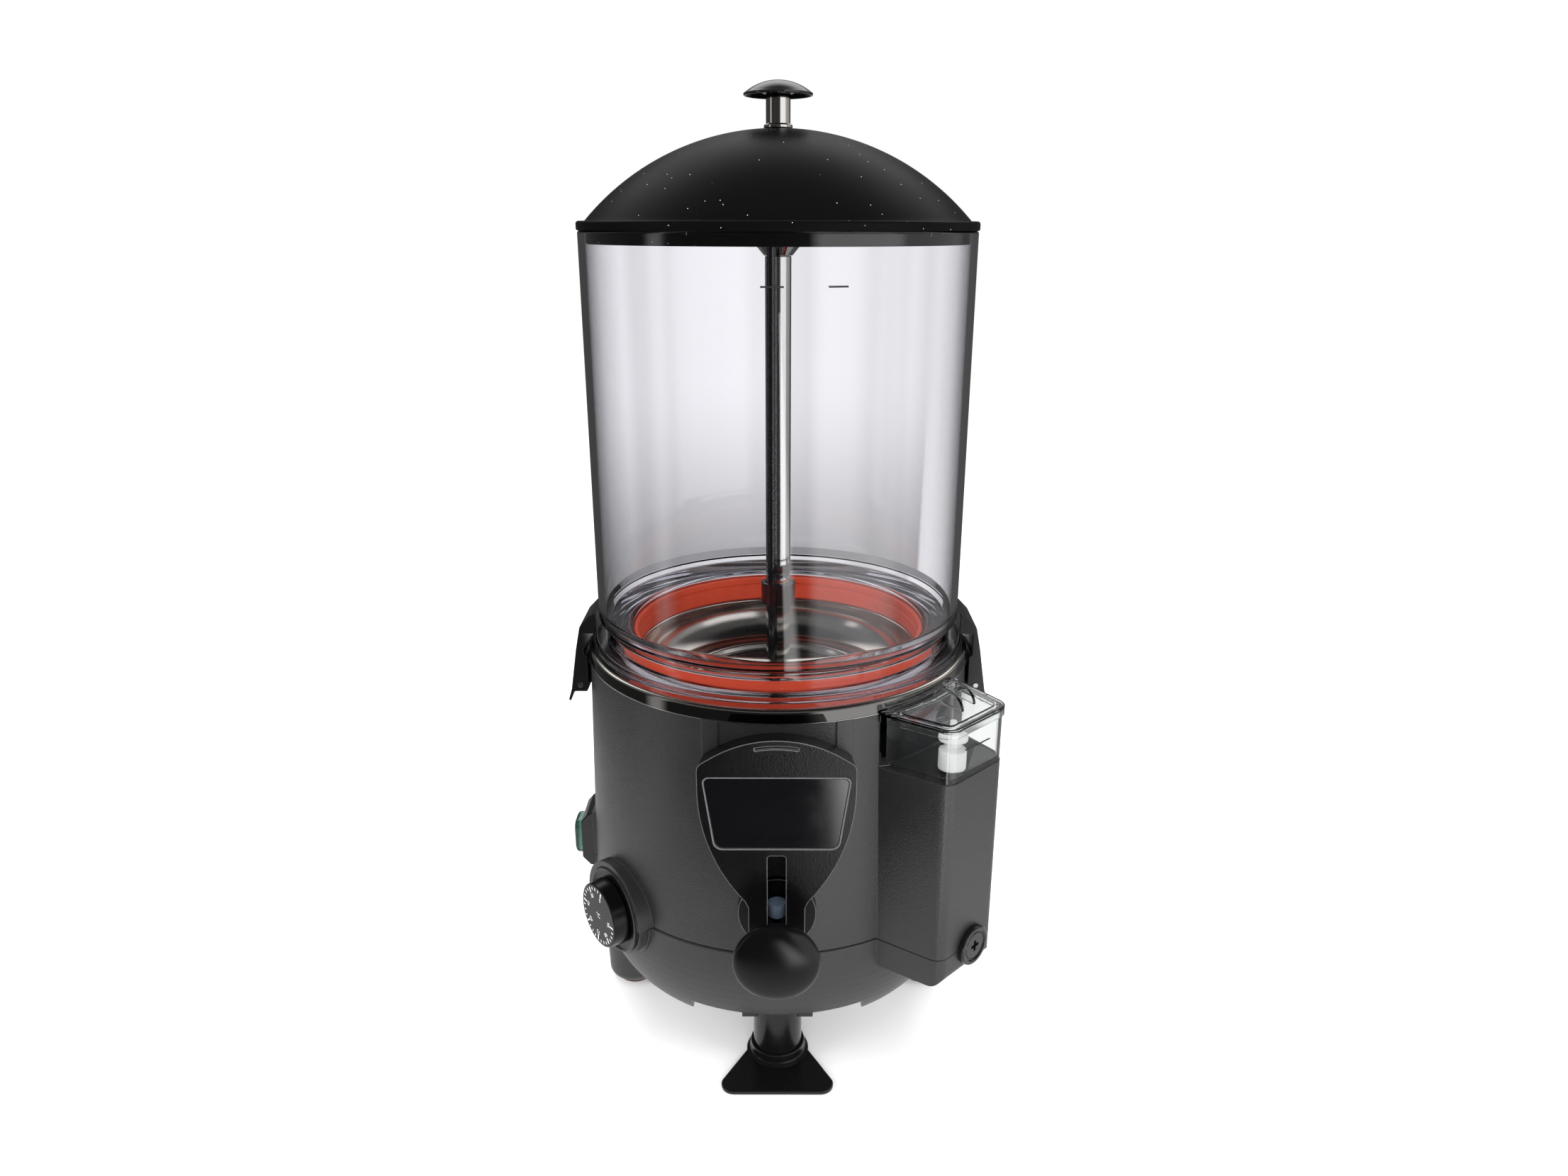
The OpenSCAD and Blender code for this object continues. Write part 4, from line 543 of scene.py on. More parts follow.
def prism(name, outline, low, high, material, body, place=None, **more):
    return stack(name, [[(x, y, z) for x, y in outline] for z in (low, high)], material, body, place, **more)


def facing(degrees, height):
    # local Z points outwards from the vessel's axis, local Y up
    return turnBy(degrees, "Z") @ moveBy(0, 0, height) @ upright


def addLine(name, line, material, body, place):
    line.materials.append(material)
    piece = addObject(name, line)
    piece.matrix_world = axisPlace @ place
    piece["body"] = body
    settle(piece)


def wire(name, points, radius, material, body, place):
    # a thin closed bead round an outline
    curve = bpy.data.curves.new(name, "CURVE")
    curve.dimensions = "3D"
    curve.bevel_depth = radius * mm
    curve.bevel_resolution = 3
    line = curve.splines.new("POLY")
    line.points.add(len(points) - 1)
    for spot, (x, y) in zip(line.points, points):
        spot.co = (x * mm, y * mm, 0, 1)
    line.use_cyclic_u = True
    addLine(name, curve, material, body, place)


# lid

lidShape = {
    "rimR": 110, "rise": 49.3, "beadZ": 510, "beadTop": 515.2, "beadR": 114.9,
    "skirtR": 109.8, "skirtZ": 503, "wall": 2.5, "hole": 2.8,
}


def makeLid(rimR, rise, beadZ, beadTop, beadR, skirtR, skirtZ, wall, hole):
    sphere = (rimR ** 2 + rise ** 2) / (2 * rise)
    middle = beadTop + rise - sphere
    edge = math.degrees(math.acos(rimR / sphere))
    screw = math.degrees(math.acos(hole / sphere))
    section = arcPoints(0, middle, sphere, screw, edge, 40)
    section += [(rimR + 0.6, beadTop - 0.35), (rimR + 1.4, beadTop - 0.1)]
    section += rounded([
        (rimR + 1.6, beadTop), (beadR, beadTop, 1.7), (beadR, beadZ, 1.2), (skirtR, beadZ + 0.05, 0.3),
        (skirtR, skirtZ, 0.8), (skirtR - wall, skirtZ, 0.8), (skirtR - wall, beadZ),
    ], 6, closed=False)
    section += arcPoints(0, middle, sphere - wall, edge + 0.6, screw - 0.4, 30)
    settle(lathe("lidDome", section, lidPlastic, "lid", count=256), "lid_dome")


makeLid(**lidShape)

knobShape = {
    "stemR": 6.9, "boreR": 2.6, "footR": 8.1, "foot": 2, "stemZ": 564.5, "rimZ": 582.5, "r": 19.4, "cap": 7,
}


def makeLidKnob(stemR, boreR, footR, foot, stemZ, rimZ, r, cap):
    capR = (r ** 2 + cap ** 2) / (2 * cap)
    lean = math.degrees(math.acos((r - 0.5) / capR))
    section = rounded([
        (0, rimZ), (stemR + 2, rimZ, 0.8), (stemR + 3.4, rimZ + 2.4, 1.2), (r - 3, rimZ + 0.9, 1.0),
        (r - 1.2, rimZ - 1.2, 0.5), (r, rimZ - 1.2, 0.6), (r, rimZ + 0.1),
    ], closed=False)
    section += arcPoints(0, rimZ + cap - capR, capR, lean, 90, 16)
    section[-1] = (0, rimZ + cap)
    settle(lathe("lidKnobCap", section, glossBlack, "lid"), "lid_knob")
    stem = [(boreR, stemZ), (footR, stemZ, 0.4), (footR, stemZ + foot, 0.8), (stemR, stemZ + foot, 0.7),
            (stemR, rimZ, 0.3), (boreR, rimZ)]
    settle(turned("lidKnobStem", stem, polishedSteel, "lid", steps=3), "lid_knob_stem")


makeLidKnob(**knobShape)
print("lid made")


# bowl, gasket and basin; their corners are radius, height and fillet

bowlShape = {
    "wallOutside": [(114.3, 510, 1.4), (113.5, 281.8, 1.2)],
    "step": [(110.5, 281, 0.6), (107.5, 279.2, 0.8), (107.5, 269.5, 1.2), (108.7, 268.2, 0.6)],
    "flange": [(116.1, 268.2, 1.1), (116.1, 265.9, 0.7), (118.5, 265.9, 0.9), (118.5, 262.5, 0.5)],
    "gasketLip": [(102, 262.5, 0.5), (102, 273.3, 0.8), (96, 273.3, 0.8), (96, 260, 0.6), (92.5, 260, 0.6)],
    "inside": [(92.5, 275, 1.8), (103.5, 281, 3), (107.9, 284.5, 2.5), (109.5, 289, 3), (110.3, 510, 1.4)],
}
bowlCorners = [corner for part in bowlShape.values() for corner in part]
settle(turned("clearBowl", bowlCorners, bowlClear, "base", steps=5, count=288), "bowl")

# two lips with the bowl's own lip between them, each with a small bead
gasketShape = {
    "foot": [(89.5, 256.6, 0.6), (98.8, 256.6, 1.0)],
    "outerLip": [(98.8, 272, 1.0), (96.3, 272, 0.5), (96.3, 260, 0.2)],
    "innerLip": [(92.2, 260, 0.2), (92.2, 272, 0.5), (89.5, 272, 0.7)],
    "bead": [(89.5, 268, 0.3), (90.2, 267.4, 0.3), (90.2, 265.4, 0.3), (89.5, 264.8, 0.3)],
}
gasketCorners = [corner for part in gasketShape.values() for corner in part]
settle(turned("bowlGasketRing", gasketCorners, redSilicone, "base", count=256), "bowl_gasket")

basinShape = {
    "outR": 120.4, "shellTop": 254, "rimZ": 262.2, "throat": 100, "ledgeZ": 256.6, "mouth": 88, "curve": 24,
    "floorZ": 228.6, "step": 62.5, "stepH": 4, "sheet": 1.2, "columnHole": 7.75, "drainR": 5.05, "drainAt": 50,
}


def basinLine(v, t):
    # the basin's section, t millimetres inside its outer face
    wall = arcPoints(v["mouth"] - v["curve"] + t * 0.3, v["ledgeZ"] - 3, v["curve"] + t * 0.7, 0, -62, 16)
    outR, rimZ, ledgeZ, floorZ = v["outR"] - t, v["rimZ"] - t, v["ledgeZ"] - t, v["floorZ"] - t
    throat, mouth, step = v["throat"] + t, v["mouth"] + t * 0.3, v["step"] + t * 0.5
    head = rounded([(outR, v["shellTop"]), (outR, rimZ, 2.6 - t), (throat, rimZ, 1.4), (throat, ledgeZ, 1.0),
                    (mouth, ledgeZ, 1.6), wall[0]], 6, closed=False)
    tail = rounded([wall[-1], (step, floorZ + v["stepH"], 2), (step - 2, floorZ, 1.4), (v["columnHole"], floorZ)],
                   5, closed=False)
    return head + wall[1:-1] + tail


def makeBasin(v):
    section = basinLine(v, 0) + basinLine(v, v["sheet"])[::-1]
    pan = lathe("basinPan", section, basinSteel, "base", count=256)
    # the band round the rim is polished, and its steel is darkened as painted shade standing in for the dark room
    # it mirrors
    pan.data.materials.append(shadedRimSteel)
    for face in pan.data.polygons:
        outward = math.hypot(face.center.x - axisX, face.center.y - axisY) > (v["outR"] - 0.3) * mm
        if outward and face.center.z < (v["rimZ"] - 1.2) * mm:
            face.material_index = 1
    bore = [(0, 220), (v["drainR"], 220), (v["drainR"], 235), (0, 235)]
    drill = lathe("drainDrill", bore, basinSteel, "base", moveBy(0, -v["drainAt"], 0), count=48)
    settle(carve(pan, drill), "basin")
    line = arcPoints(0, 0, v["outR"] - 0.05, 0, 358, 180)
    wire("rimLine", line, 0.32, polishedSteel, "base", moveBy(0, 0, v["shellTop"] + 0.35))


makeBasin(basinShape)

levelDash = {"z": 484.5, "r": 114.25, "spans": [(-4.1, 1.7), (12.8, 17.9)], "h": 0.9, "t": 0.12}


def makeDash(z, r, spans, h, t):
    # two printed lines on the bowl's wall, in degrees from its front
    for i, (first, last) in enumerate(spans):
        loops = []
        for degrees in (first + (last - first) * k / 12 for k in range(13)):
            a = math.radians(degrees)
            loops.append([(reach * math.sin(a), -reach * math.cos(a), z + up)
                          for reach, up in ((r, -h / 2), (r + t, -h / 2), (r + t, h / 2), (r, h / 2))])
        settle(stack(f"bowlLevelLine{i + 1}", loops, printBlack, "base"))


makeDash(**levelDash)
print("bowl, gasket and basin made")


# mixer

mixerShape = {
    "columnR": 7.7, "columnWall": 1, "columnLow": 194.2, "columnTop": 496,
    "headR": 16.4, "headZ": 502.3, "headTop": 510.8, "rodR": 2.6, "rodReach": 11.5, "rodTurn": -20,
    "slideR": 8.05, "guideR": 10.8, "guideZ": 284.5, "guideH": 14,
    "paddleZ": 229.6, "paddleH": 6, "paddleReach": 54, "paddleT": 2.5, "paddleTurn": 12,
}
coneCorners = [(4.05, 496.3), (8.3, 496.3, 0.5), (13.4, 502.3, 0.4), (4.05, 502.3)]


def sleeve(inner, outer, low, high, fillet):
    return [(inner, low, fillet[0]), (outer, low, fillet[1]), (outer, high, fillet[1]), (inner, high, fillet[0])]


def makeMixer(v):
    inside, top = v["columnR"] - v["columnWall"], v["columnTop"]
    tube = sleeve(inside, v["columnR"], v["columnLow"], top, (0.3, 0.3))
    settle(turned("columnTube", tube, columnSteel, "base", steps=3, count=96), "column_tube")
    settle(turned("mixerCone", coneCorners, columnSteel, "mixer", steps=3, count=96), "mixer_cone")
    headZ, headTop, low = v["headZ"], v["headTop"], v["paddleZ"]
    head = [(0, headZ), (v["headR"], headZ, 0.8), (v["headR"], headTop, 2.0), (0, headTop)]
    settle(turned("mixerHead", head, glossBlack, "mixer", steps=5, count=96), "mixer_head")
    a = math.radians(v["rodTurn"])
    at = moveBy(v["rodReach"] * math.sin(a), -v["rodReach"] * math.cos(a), 0)
    rod = [(0, low), (v["rodR"], low, 0.5), (v["rodR"], headZ + 4, 0.3), (0, headZ + 4)]
    settle(turned("mixerRod", rod, rodBlack, "mixer", at, 3, count=48), "mixer_rod")
    guide = sleeve(v["slideR"], v["guideR"], v["guideZ"], v["guideZ"] + v["guideH"], (0.4, 1.1))
    settle(turned("rodGuide", guide, rodBlack, "mixer", count=72))
    hub = sleeve(v["slideR"], v["guideR"] + 0.6, low, low + v["paddleH"], (0.4, 1))
    settle(turned("paddleHub", hub, rodBlack, "mixer", count=72))
    root, tip, half = v["guideR"] - 1.5, v["paddleReach"], v["paddleT"] / 2
    blade = rounded([(root, -half), (tip, -half, 1), (tip, half, 1), (root, half)])
    for i, side in enumerate((0, 180)):
        place = turnBy(side + v["paddleTurn"], "Z")
        settle(prism(f"paddle{i + 1}", blade, low, low + v["paddleH"], rodBlack, "mixer", place, bevel=0.5))


makeMixer(mixerShape)
print("mixer made")


# tap

tapShape = {
    "face": -150, "top": 259, "low": 130, "halfW": 42.3, "lowHalfW": 15.6, "sideR": 105, "sideDrop": 29,
    "archR": 65.2, "shoulder": 18, "wall": 2.5, "slope": 18, "slotHalf": 5, "slotTop": 190.5, "panelDepth": 1.2,
    "bodyR": 120.35, "bodyTaper": 3.5 / 146, "barrelR": 22.75, "barrelZ": 138,
}
panelShape = {"halfW": (33, 39), "below": (64, 22), "corner": (5, 3), "gap": 0.25, "border": 0.5}
fall = math.tan(math.radians(tapShape["slope"]))
facePlace = moveBy(0, tapShape["face"], 0) @ upright


def coverOutline(v, inset):
    half, low, sideR, archR = (v[key] - inset for key in ("halfW", "lowHalfW", "sideR", "archR"))
    sideX, sideZ, shoulderZ = v["halfW"] - v["sideR"], v["top"] - v["sideDrop"], v["top"] - v["shoulder"]
    sweep = math.acos((low - sideX) / sideR)
    right = [(low, v["low"] - 20), (low, sideZ - sideR * math.sin(sweep) - 2)]
    right += arcPoints(sideX, sideZ, sideR, 1.5 - math.degrees(sweep), 0, 26)
    right += [(half, shoulderZ)]
    right += arcPoints(half - 6, shoulderZ, 6, 12, 50, 6)
    right += arcPoints(0, v["top"] - v["archR"], archR, 90 - 33, 90, 22)
    return right + [(-x, z) for x, z in right[-2::-1]]


def panelOutline(inset):
    (lowHalf, highHalf), (lowDrop, highDrop) = panelShape["halfW"], panelShape["below"]
    lowFillet, highFillet = panelShape["corner"]
    low, high = tapShape["top"] - lowDrop + inset, tapShape["top"] - highDrop - inset
    return rounded([(lowHalf - inset, low, lowFillet), (highHalf - inset, high, highFillet),
                    (inset - highHalf, high, highFillet), (inset - lowHalf, low, lowFillet)], 6)


def hoodSolid(name, v, inset, reach):
    # the cover's outline, drawn back and down from its face; reach gives how deep it goes at x and z
    loops = []
    for t in (0, 0.34, 0.67, 1):
        depths = [(x, z, t * reach(x, z) + inset) for x, z in coverOutline(v, inset)]
        loops.append([(x, v["face"] + depth, z - depth * fall) for x, z, depth in depths])
    return stack(name, loops, coverPlastic, "base")


def wallReach(x, z):
    # how far back the shell's tapered wall is met, found by stepping
    v, depth = tapShape, 0.0
    for _ in range(6):
        r = v["bodyR"] + v["bodyTaper"] * (254 - min(z - depth * fall, 256))
        depth = -v["face"] - math.sqrt(max(r * r - x * x, 100))
    return depth


def makeCover(v):
    def cutter(name, outline, low, high, place=None):
        return prism(name, outline, low, high, coverPlastic, "base", place)
    low, half, archZ = v["low"], v["slotHalf"], v["top"] - v["archR"]
    slotTop = v["slotTop"]
    slotLine = rounded([(-half, low - 30), (half, low - 30), (half, slotTop, 1.6), (-half, slotTop, 1.6)], 5)
    nail = rounded(arcPoints(0, archZ, 60.2, 101, 79, 14) + arcPoints(0, archZ, 62, 79, 101, 14), 3, radius=0.4)
    cover = carve(
        hoodSolid("tapCover", v, 0, wallReach),
        hoodSolid("hollow", v, v["wall"], lambda x, z: 60),
        cutter("lowCut", [(-60, -170), (60, -170), (60, -60), (-60, -60)], 60, low),
        cutter("slotCut", slotLine, -12, 3, facePlace),
        cutter("recess", panelOutline(0), -v["panelDepth"], 3, facePlace),
        cutter("groove", nail, -1.1, 3, facePlace),
        cutter("barrelCut", circlePoints(0, v["barrelZ"], v["barrelR"], 96), 0, 126.4, upright),
    )
    edge = cover.modifiers.new("softCorners", "BEVEL")
    edge.width = 0.9 * mm
    edge.segments = 3
    edge.limit_method = "ANGLE"
    edge.angle_limit = math.radians(50)
    edge.use_clamp_overlap = True
    cover.modifiers.move(cover.modifiers.find("softCorners"), 0)
    settle(cover, "tap_cover")
    glass = prism("coverPanel", panelOutline(panelShape["gap"]), -v["panelDepth"], -0.55, panelBlack, "base",
                  facePlace, bevel=0.25)
    settle(glass, "cover_panel")
    border = panelOutline(-panelShape["border"])
    # the bead's grey colour is painted highlight
    wire("panelBorder", border, 0.34, borderHighlightGrey, "base", facePlace @ moveBy(0, 0, -0.1))


makeCover(tapShape)

leverKnob = {"r": 23.5, "h": 14, "reach": 167, "z": 141}


def makeLeverKnob(r, h, reach, z):
    section = rounded([(0, 0), (5.5, 0, 0.6), (7, 1.6, 2), (r - 4, h * 0.33, 3), (r - 0.4, h * 0.42, 0.4),
                       (r, h / 2)], closed=False)
    dome = [math.radians(90 * k / 24) for k in range(1, 24)]
    section += [(r * math.cos(a), h / 2 + h / 2 * math.sin(a)) for a in dome] + [(0, h)]
    place = moveBy(0, -reach, z) @ upright
    settle(lathe("leverKnob", section, knobPlastic, "lever", place), "lever_knob")


makeLeverKnob(**leverKnob)
print("tap made")


# dial

dialShape = {
    "around": -52.2, "z": 108.4, "plateR": 27.1, "plateOut": 130.1, "plateT": 2.6, "hole": 5,
    "r": 20, "knobOut": 130.4, "h": 9.5,
}
scaleShape = {
    # ticks and numbers from the top, round the left side, to the bottom
    "first": 75, "sweep": 285, "marks": 25, "long": (5.4, 0.5), "short": (3.6, 0.36), "end": 1.7,
    "numbers": ("0", "30", "45", "60", "75", "90", "95"), "numberIn": 7.6, "size": 3.7, "unitSize": 4.2,
}


def makeDial(around, z, plateR, plateOut, plateT, hole, r, knobOut, h):
    place = facing(around, z)
    low, sunk = plateOut - plateT, plateOut - 1.0
    plate = [(hole, low), (plateR, low, 0.3), (plateR, plateOut, 0.5), (plateR - 1.6, plateOut, 0.4),
             (plateR - 2.0, sunk, 0.3), (hole, sunk)]
    settle(turned("dialPlate", plate, coverPlastic, "base", place, 3), "dial_plate")
    face = knobOut + h
    knob = [(0, knobOut + 2)] + rounded([(3, knobOut), (r + 1.2, knobOut, 0.5), (r + 0.3, face - 0.3, 1.0),
                                         (r - 0.5, face, 0.6), (0, face)], closed=False)
    settle(lathe("dialKnob", knob, knobPlastic, "dial", place), "dial_knob")
    makeScale(place @ moveBy(0, 0, face - 0.02), r, scaleShape)


def makeScale(face, r, v):
    for k in range(v["marks"]):
        length, half = v["long"] if k % 4 == 0 else v["short"]
        outline = [(r - length, -half), (r - v["end"], -half), (r - v["end"], half), (r - length, half)]
        place = face @ turnBy(v["first"] + v["sweep"] * k / (v["marks"] - 1), "Z")
        settle(prism(f"dialTick{k}", outline, 0, 0.09, printWhite, "dial", place))
    for k, words in enumerate(v["numbers"]):
        spoke = face @ turnBy(v["first"] + v["sweep"] * k / (len(v["numbers"]) - 1), "Z")
        place = spoke @ moveBy(r - v["numberIn"], 0, 0) @ turnBy(-90, "Z")
        number(f"dialNumber{k}", words, v["size"], place)
    number("dialUnit", "°C", v["unitSize"], face)


def number(name, words, size, place):
    text = bpy.data.curves.new(name, "FONT")
    text.body = words
    text.size = size * mm
    text.align_x = "CENTER"
    text.align_y = "CENTER"
    text.extrude = 0.05 * mm
    text.offset = 0.02 * mm
    addLine(name, text, printWhite, "dial", place)


makeDial(**dialShape)
print("dial made")


# switch

switchShape = {
    "around": -90, "z": 116.6, "up": 23.2, "down": 17.2, "w": 30, "back": 124.2, "out": 132.6,
    "capW": 19.6, "capH": 24.4, "capOut": 5.8, "rockerW": 14.6, "rockerH": 20.6,
}


def box(halfW, halfH, radius):
    corners = ((halfW, -halfH), (halfW, halfH), (-halfW, halfH), (-halfW, -halfH))
    return rounded(corners, 6, radius=radius)


def makeSwitch(around, z, up, down, w, back, out, capW, capH, capOut, rockerW, rockerH):
    place = facing(around, z)
    lying = place @ turnBy(90, "Y") @ turnBy(90, "Z")
    half = rockerH / 2
    side = rounded([
        (-down, back - 6), (up, back - 6), (up, back + 0.6, 2), (up - 2.6, back + 4.2, 4), (up - 7.5, out, 3.5),
        (-0.8 - half, out, 1.2), (1.6 - down, out - 3.9, 1), (-down, back + 3, 0.8),
    ], 5)
    body = prism("switchHousing", side, -w / 2, w / 2, glossBlack, "base", lying, bevel=1.3, bevelOver=60)
    well = prism("well", box(rockerW / 2 + 0.5, half + 0.5, 1), back - 20, out + 5, glossBlack, "base", place)
    settle(carve(body, well), "switch_housing")
    high = out + capOut
    outer = ((0, out, 5), (0, high - 2.2, 5), (0.5, high - 1.0, 5), (1.4, high - 0.25, 5), (2.6, high, 4.5))
    inner = ((3.2, high - 1.1, 3.8), (2.2, high - 1.4, 4), (1.2, high - 2.6, 4), (1.1, out, 4))
    loops = []
    for inset, level, r in outer + inner:
        loops.append([(x, y, level) for x, y in box(capW / 2 - inset, capH / 2 - inset, r)])
    settle(openShell("switchCap", loops, len(outer), capClear, place), "switch_cap")
    pin = out - 4.5
    rocker = arcPoints(0, pin, half, -12, 22, 8) + [(0, pin + half / 2)] + arcPoints(0, pin, half, 144, 192, 8)
    rocker = prism("switchRocker", rounded(rocker, 3, radius=0.8), -rockerW / 2, rockerW / 2, greenLens,
                   "rocker", lying, bevel=0.7, bevelOver=60)
    settle(rocker, "switch_rocker")


def openShell(name, loops, outer, material, place):
    # outer loops first, then the inner ones, each set closed at its top and both joined at the open edge
    count = len(loops[0])
    points = [p for loop in loops for p in loop]
    faces = []
    for i in [*range(outer - 1), *range(outer, len(loops) - 1), -1]:
        low, high = i % len(loops) * count, (i + 1) * count
        faces += [(low + k, low + (k + 1) % count, high + (k + 1) % count, high + k) for k in range(count)]
    faces.append(tuple(range((outer - 1) * count, outer * count)))
    faces.append(tuple(range(outer * count, (outer + 1) * count))[::-1])
    return addPiece(name, points, faces, material, "base", place)


makeSwitch(**switchShape)
print("switch made")


# level box

boxShape = {
    "turn": 44.8, "reach": 159.8, "halfOut": 25.6, "halfIn": 33.8, "corner": 8, "shellR": 120, "backR": 121,
    "lowZ": 221.4, "topZ": 255.8, "wall": 2, "lidT": 2.4,
}
boxPlace = turnBy(boxShape["turn"], "Z")


def boxOutline(v, inset, backR):
    # straight sides that lean apart towards the shell, and a back that follows it
    lean = math.atan((v["halfIn"] - v["halfOut"]) / (v["reach"] - v["shellR"] + 1))
    r = v["corner"] - inset * 0.8
    cx, cy = v["halfOut"] - inset - r * (1 - math.sin(lean)) / math.cos(lean), r - v["reach"] + inset
    right = arcPoints(cx, cy, r, -90, -math.degrees(lean), 8)
    ex, ey = right[-1]
    low, high = 0.0, 90.0
    for _ in range(50):
        middle = (low + high) / 2
        x, y = ex + middle * math.tan(lean), ey + middle
        low, high = (middle, high) if math.hypot(x, y) > backR else (low, middle)
    first = math.degrees(math.atan2(ey + low, ex + low * math.tan(lean)))
    along = [(ex + (x - ex) * k / 4, ey + (y - ey) * k / 4) for k in range(1, 4)]
    back = arcPoints(0, 0, backR, first, -180 - first, 20)
    return right + along + back + [(-x, y) for x, y in along[::-1] + right[::-1]]


def boxPiece(name, v, path, body):
    # each stop of the path: inset from the box's outline, height, inset from its back
    loops = [[(x, y, z) for x, y in boxOutline(v, inset, v["backR"] + back)] for inset, z, back in path]
    return stack(name, loops, boxClear, body, boxPlace, sharp=30)


def makeLevelBox(v):
    low, high, wall = v["lowZ"], v["topZ"] - v["lidT"], v["wall"]
    path = [
        (1.2, low, 0.6), (0.6, low + 0.25, 0.2), (0.4, low + 0.9, 0), (0.4, high - 0.4, 0), (0.7, high, 0.3),
        (wall + 0.1, high, wall - 0.3), (wall + 0.4, high - 0.3, wall), (wall + 0.4, low + wall + 1.4, wall),
        (wall + 0.9, low + wall + 0.4, wall + 0.5), (wall + 2, low + wall, wall + 1.5),
    ]
    settle(boxPiece("levelBoxClear", v, path, "base"), "level_box")


finShape = {"at": [(1.5, 136), (14.5, 134.5)], "halfL": 12.4, "h": 8.8, "halfT": 0.9, "turn": -12}
ringShape = {"at": [(-21, 127), (-17.5, 147), (21.5, 147), (27, 128)], "r": 3.1}


def makeLevelLid(v):
    top = v["topZ"]
    low = top - v["lidT"]
    path = [
        (4.8, low, 6), (4.6, low - 1.7, 5.8), (4.2, low - 2, 5.4), (3.1, low - 2, 4.4), (2.8, low - 1.7, 4.1),
        (2.8, low, 4.1), (0.25, low + 0.1, 0.5), (0.15, low - 3.6, 0.5), (-0.1, low - 3.9, 0.4),
        (-0.5, low - 3.7, 0.2), (-0.6, low - 3.2, 0.1), (-0.6, top - 0.8, 0.1), (-0.2, top - 0.2, 0.2),
        (0.5, top, 0.6), (3.2, top, 3), (3.7, top - 0.2, 3.5), (4.0, top - 0.9, 3.8), (4.5, top - 0.9, 4.3),
        (4.9, top - 0.4, 4.7), (5.4, top - 0.4, 5.2),
    ]
    settle(boxPiece("levelLidClear", v, path, "box_lid"), "level_lid")
    arch = [(x * finShape["halfL"], y * finShape["h"]) for x, y in arcPoints(0, 0, 1, 0, 180, 24)]
    lying = turnBy(finShape["turn"], "Z") @ turnBy(90, "Z") @ upright
    half = finShape["halfT"]
    for i, (x, reach) in enumerate(finShape["at"]):
        place = boxPlace @ moveBy(x, -reach, top - 0.5) @ lying
        settle(prism(f"lidFin{i + 1}", arch, -half, half, boxClear, "box_lid", place, bevel=0.35))
    for i, (x, reach) in enumerate(ringShape["at"]):
        circle = circlePoints(x, -reach, ringShape["r"], 32)
        wire(f"lidRing{i + 1}", circle, 0.16, boxClear, "box_lid", boxPlace @ moveBy(0, 0, top - 0.4))


floatShape = {
    "side": -10.5, "reach": 149,
    "float": [(2.3, 225), (7.2, 225, 0.8), (7.2, 236.5, 1.2), (4, 239, 1.2), (4, 242.4, 0.5), (7.6, 242.4, 0.6),
              (7.6, 246, 1.2), (2.3, 246)],
    "post": [(0, 223.4), (4, 223.4, 0.3), (4, 225, 0.4), (2, 225), (2, 252.4, 0.8), (0, 252.4)],
}


def makeFloat(v):
    place = boxPlace @ moveBy(v["side"], -v["reach"], 0)
    settle(turned("levelFloat", v["float"], whitePlastic, "float", place, count=64), "level_float")
    settle(turned("floatPost", v["post"], whitePlastic, "base", place, 3, count=48), "float_post")


levelMarks = {
    "lines": [(-13, 239.9, 10.1, 239.3), (-13, 226.1, 14.3, 224.2)], "half": 0.45, "t": 0.1, "sunk": 0.38,
}


def makeMarks(lines, half, t, sunk):
    # two bare level lines on the box's outer face
    face = boxShape["reach"] - sunk
    for i, (x0, z0, x1, z1) in enumerate(lines):
        outline = [(x0, z0 - half), (x1, z1 - half), (x1, z1 + half), (x0, z0 + half)]
        settle(prism(f"boxLevelLine{i + 1}", outline, face, face + t, printBlack, "base", boxPlace @ upright))


makeLevelBox(boxShape)
makeLevelLid(boxShape)
makeFloat(floatShape)
makeMarks(**levelMarks)

plugShape = {
    "side": 3.6, "z": 107, "out": 3.6, "slots": [(3.6, 1.1), (1.1, 3.6)],
    "stem": [(0, -11), (3.5, -11, 0.4), (3.5, -3), (7.2, -3, 0.3), (7.2, 0, 0.2)],
    "head": [(12.4, 0, 0.8), (12.4, 3.6, 1.3), (9.8, 3.6, 0.5), (9.3, 2.5, 0.3), (8.5, 2.5, 0.3), (8.1, 3.1, 0.5),
             (0, 3.1)],
}


def makePlug(v):
    place = boxPlace @ moveBy(v["side"], -boxShape["reach"], v["z"]) @ upright
    plug = turned("drainPlug", v["stem"] + v["head"], glossBlack, "plug", place)
    low, high = v["out"] - 2.4, v["out"] + 3
    bars = [prism("bar", box(*size, 0.8), low, high, glossBlack, "plug", place) for size in v["slots"]]
    settle(carve(plug, *bars), "drain_plug")


makePlug(plugShape)
print("level box made")


# latches

latchShape = {
    "pin": 126.3, "pinZ": 233.7, "back": 121, "hook": 268.5, "rimZ": 262.2, "w": 36, "lug": 17.2, "wall": 114.3,
}


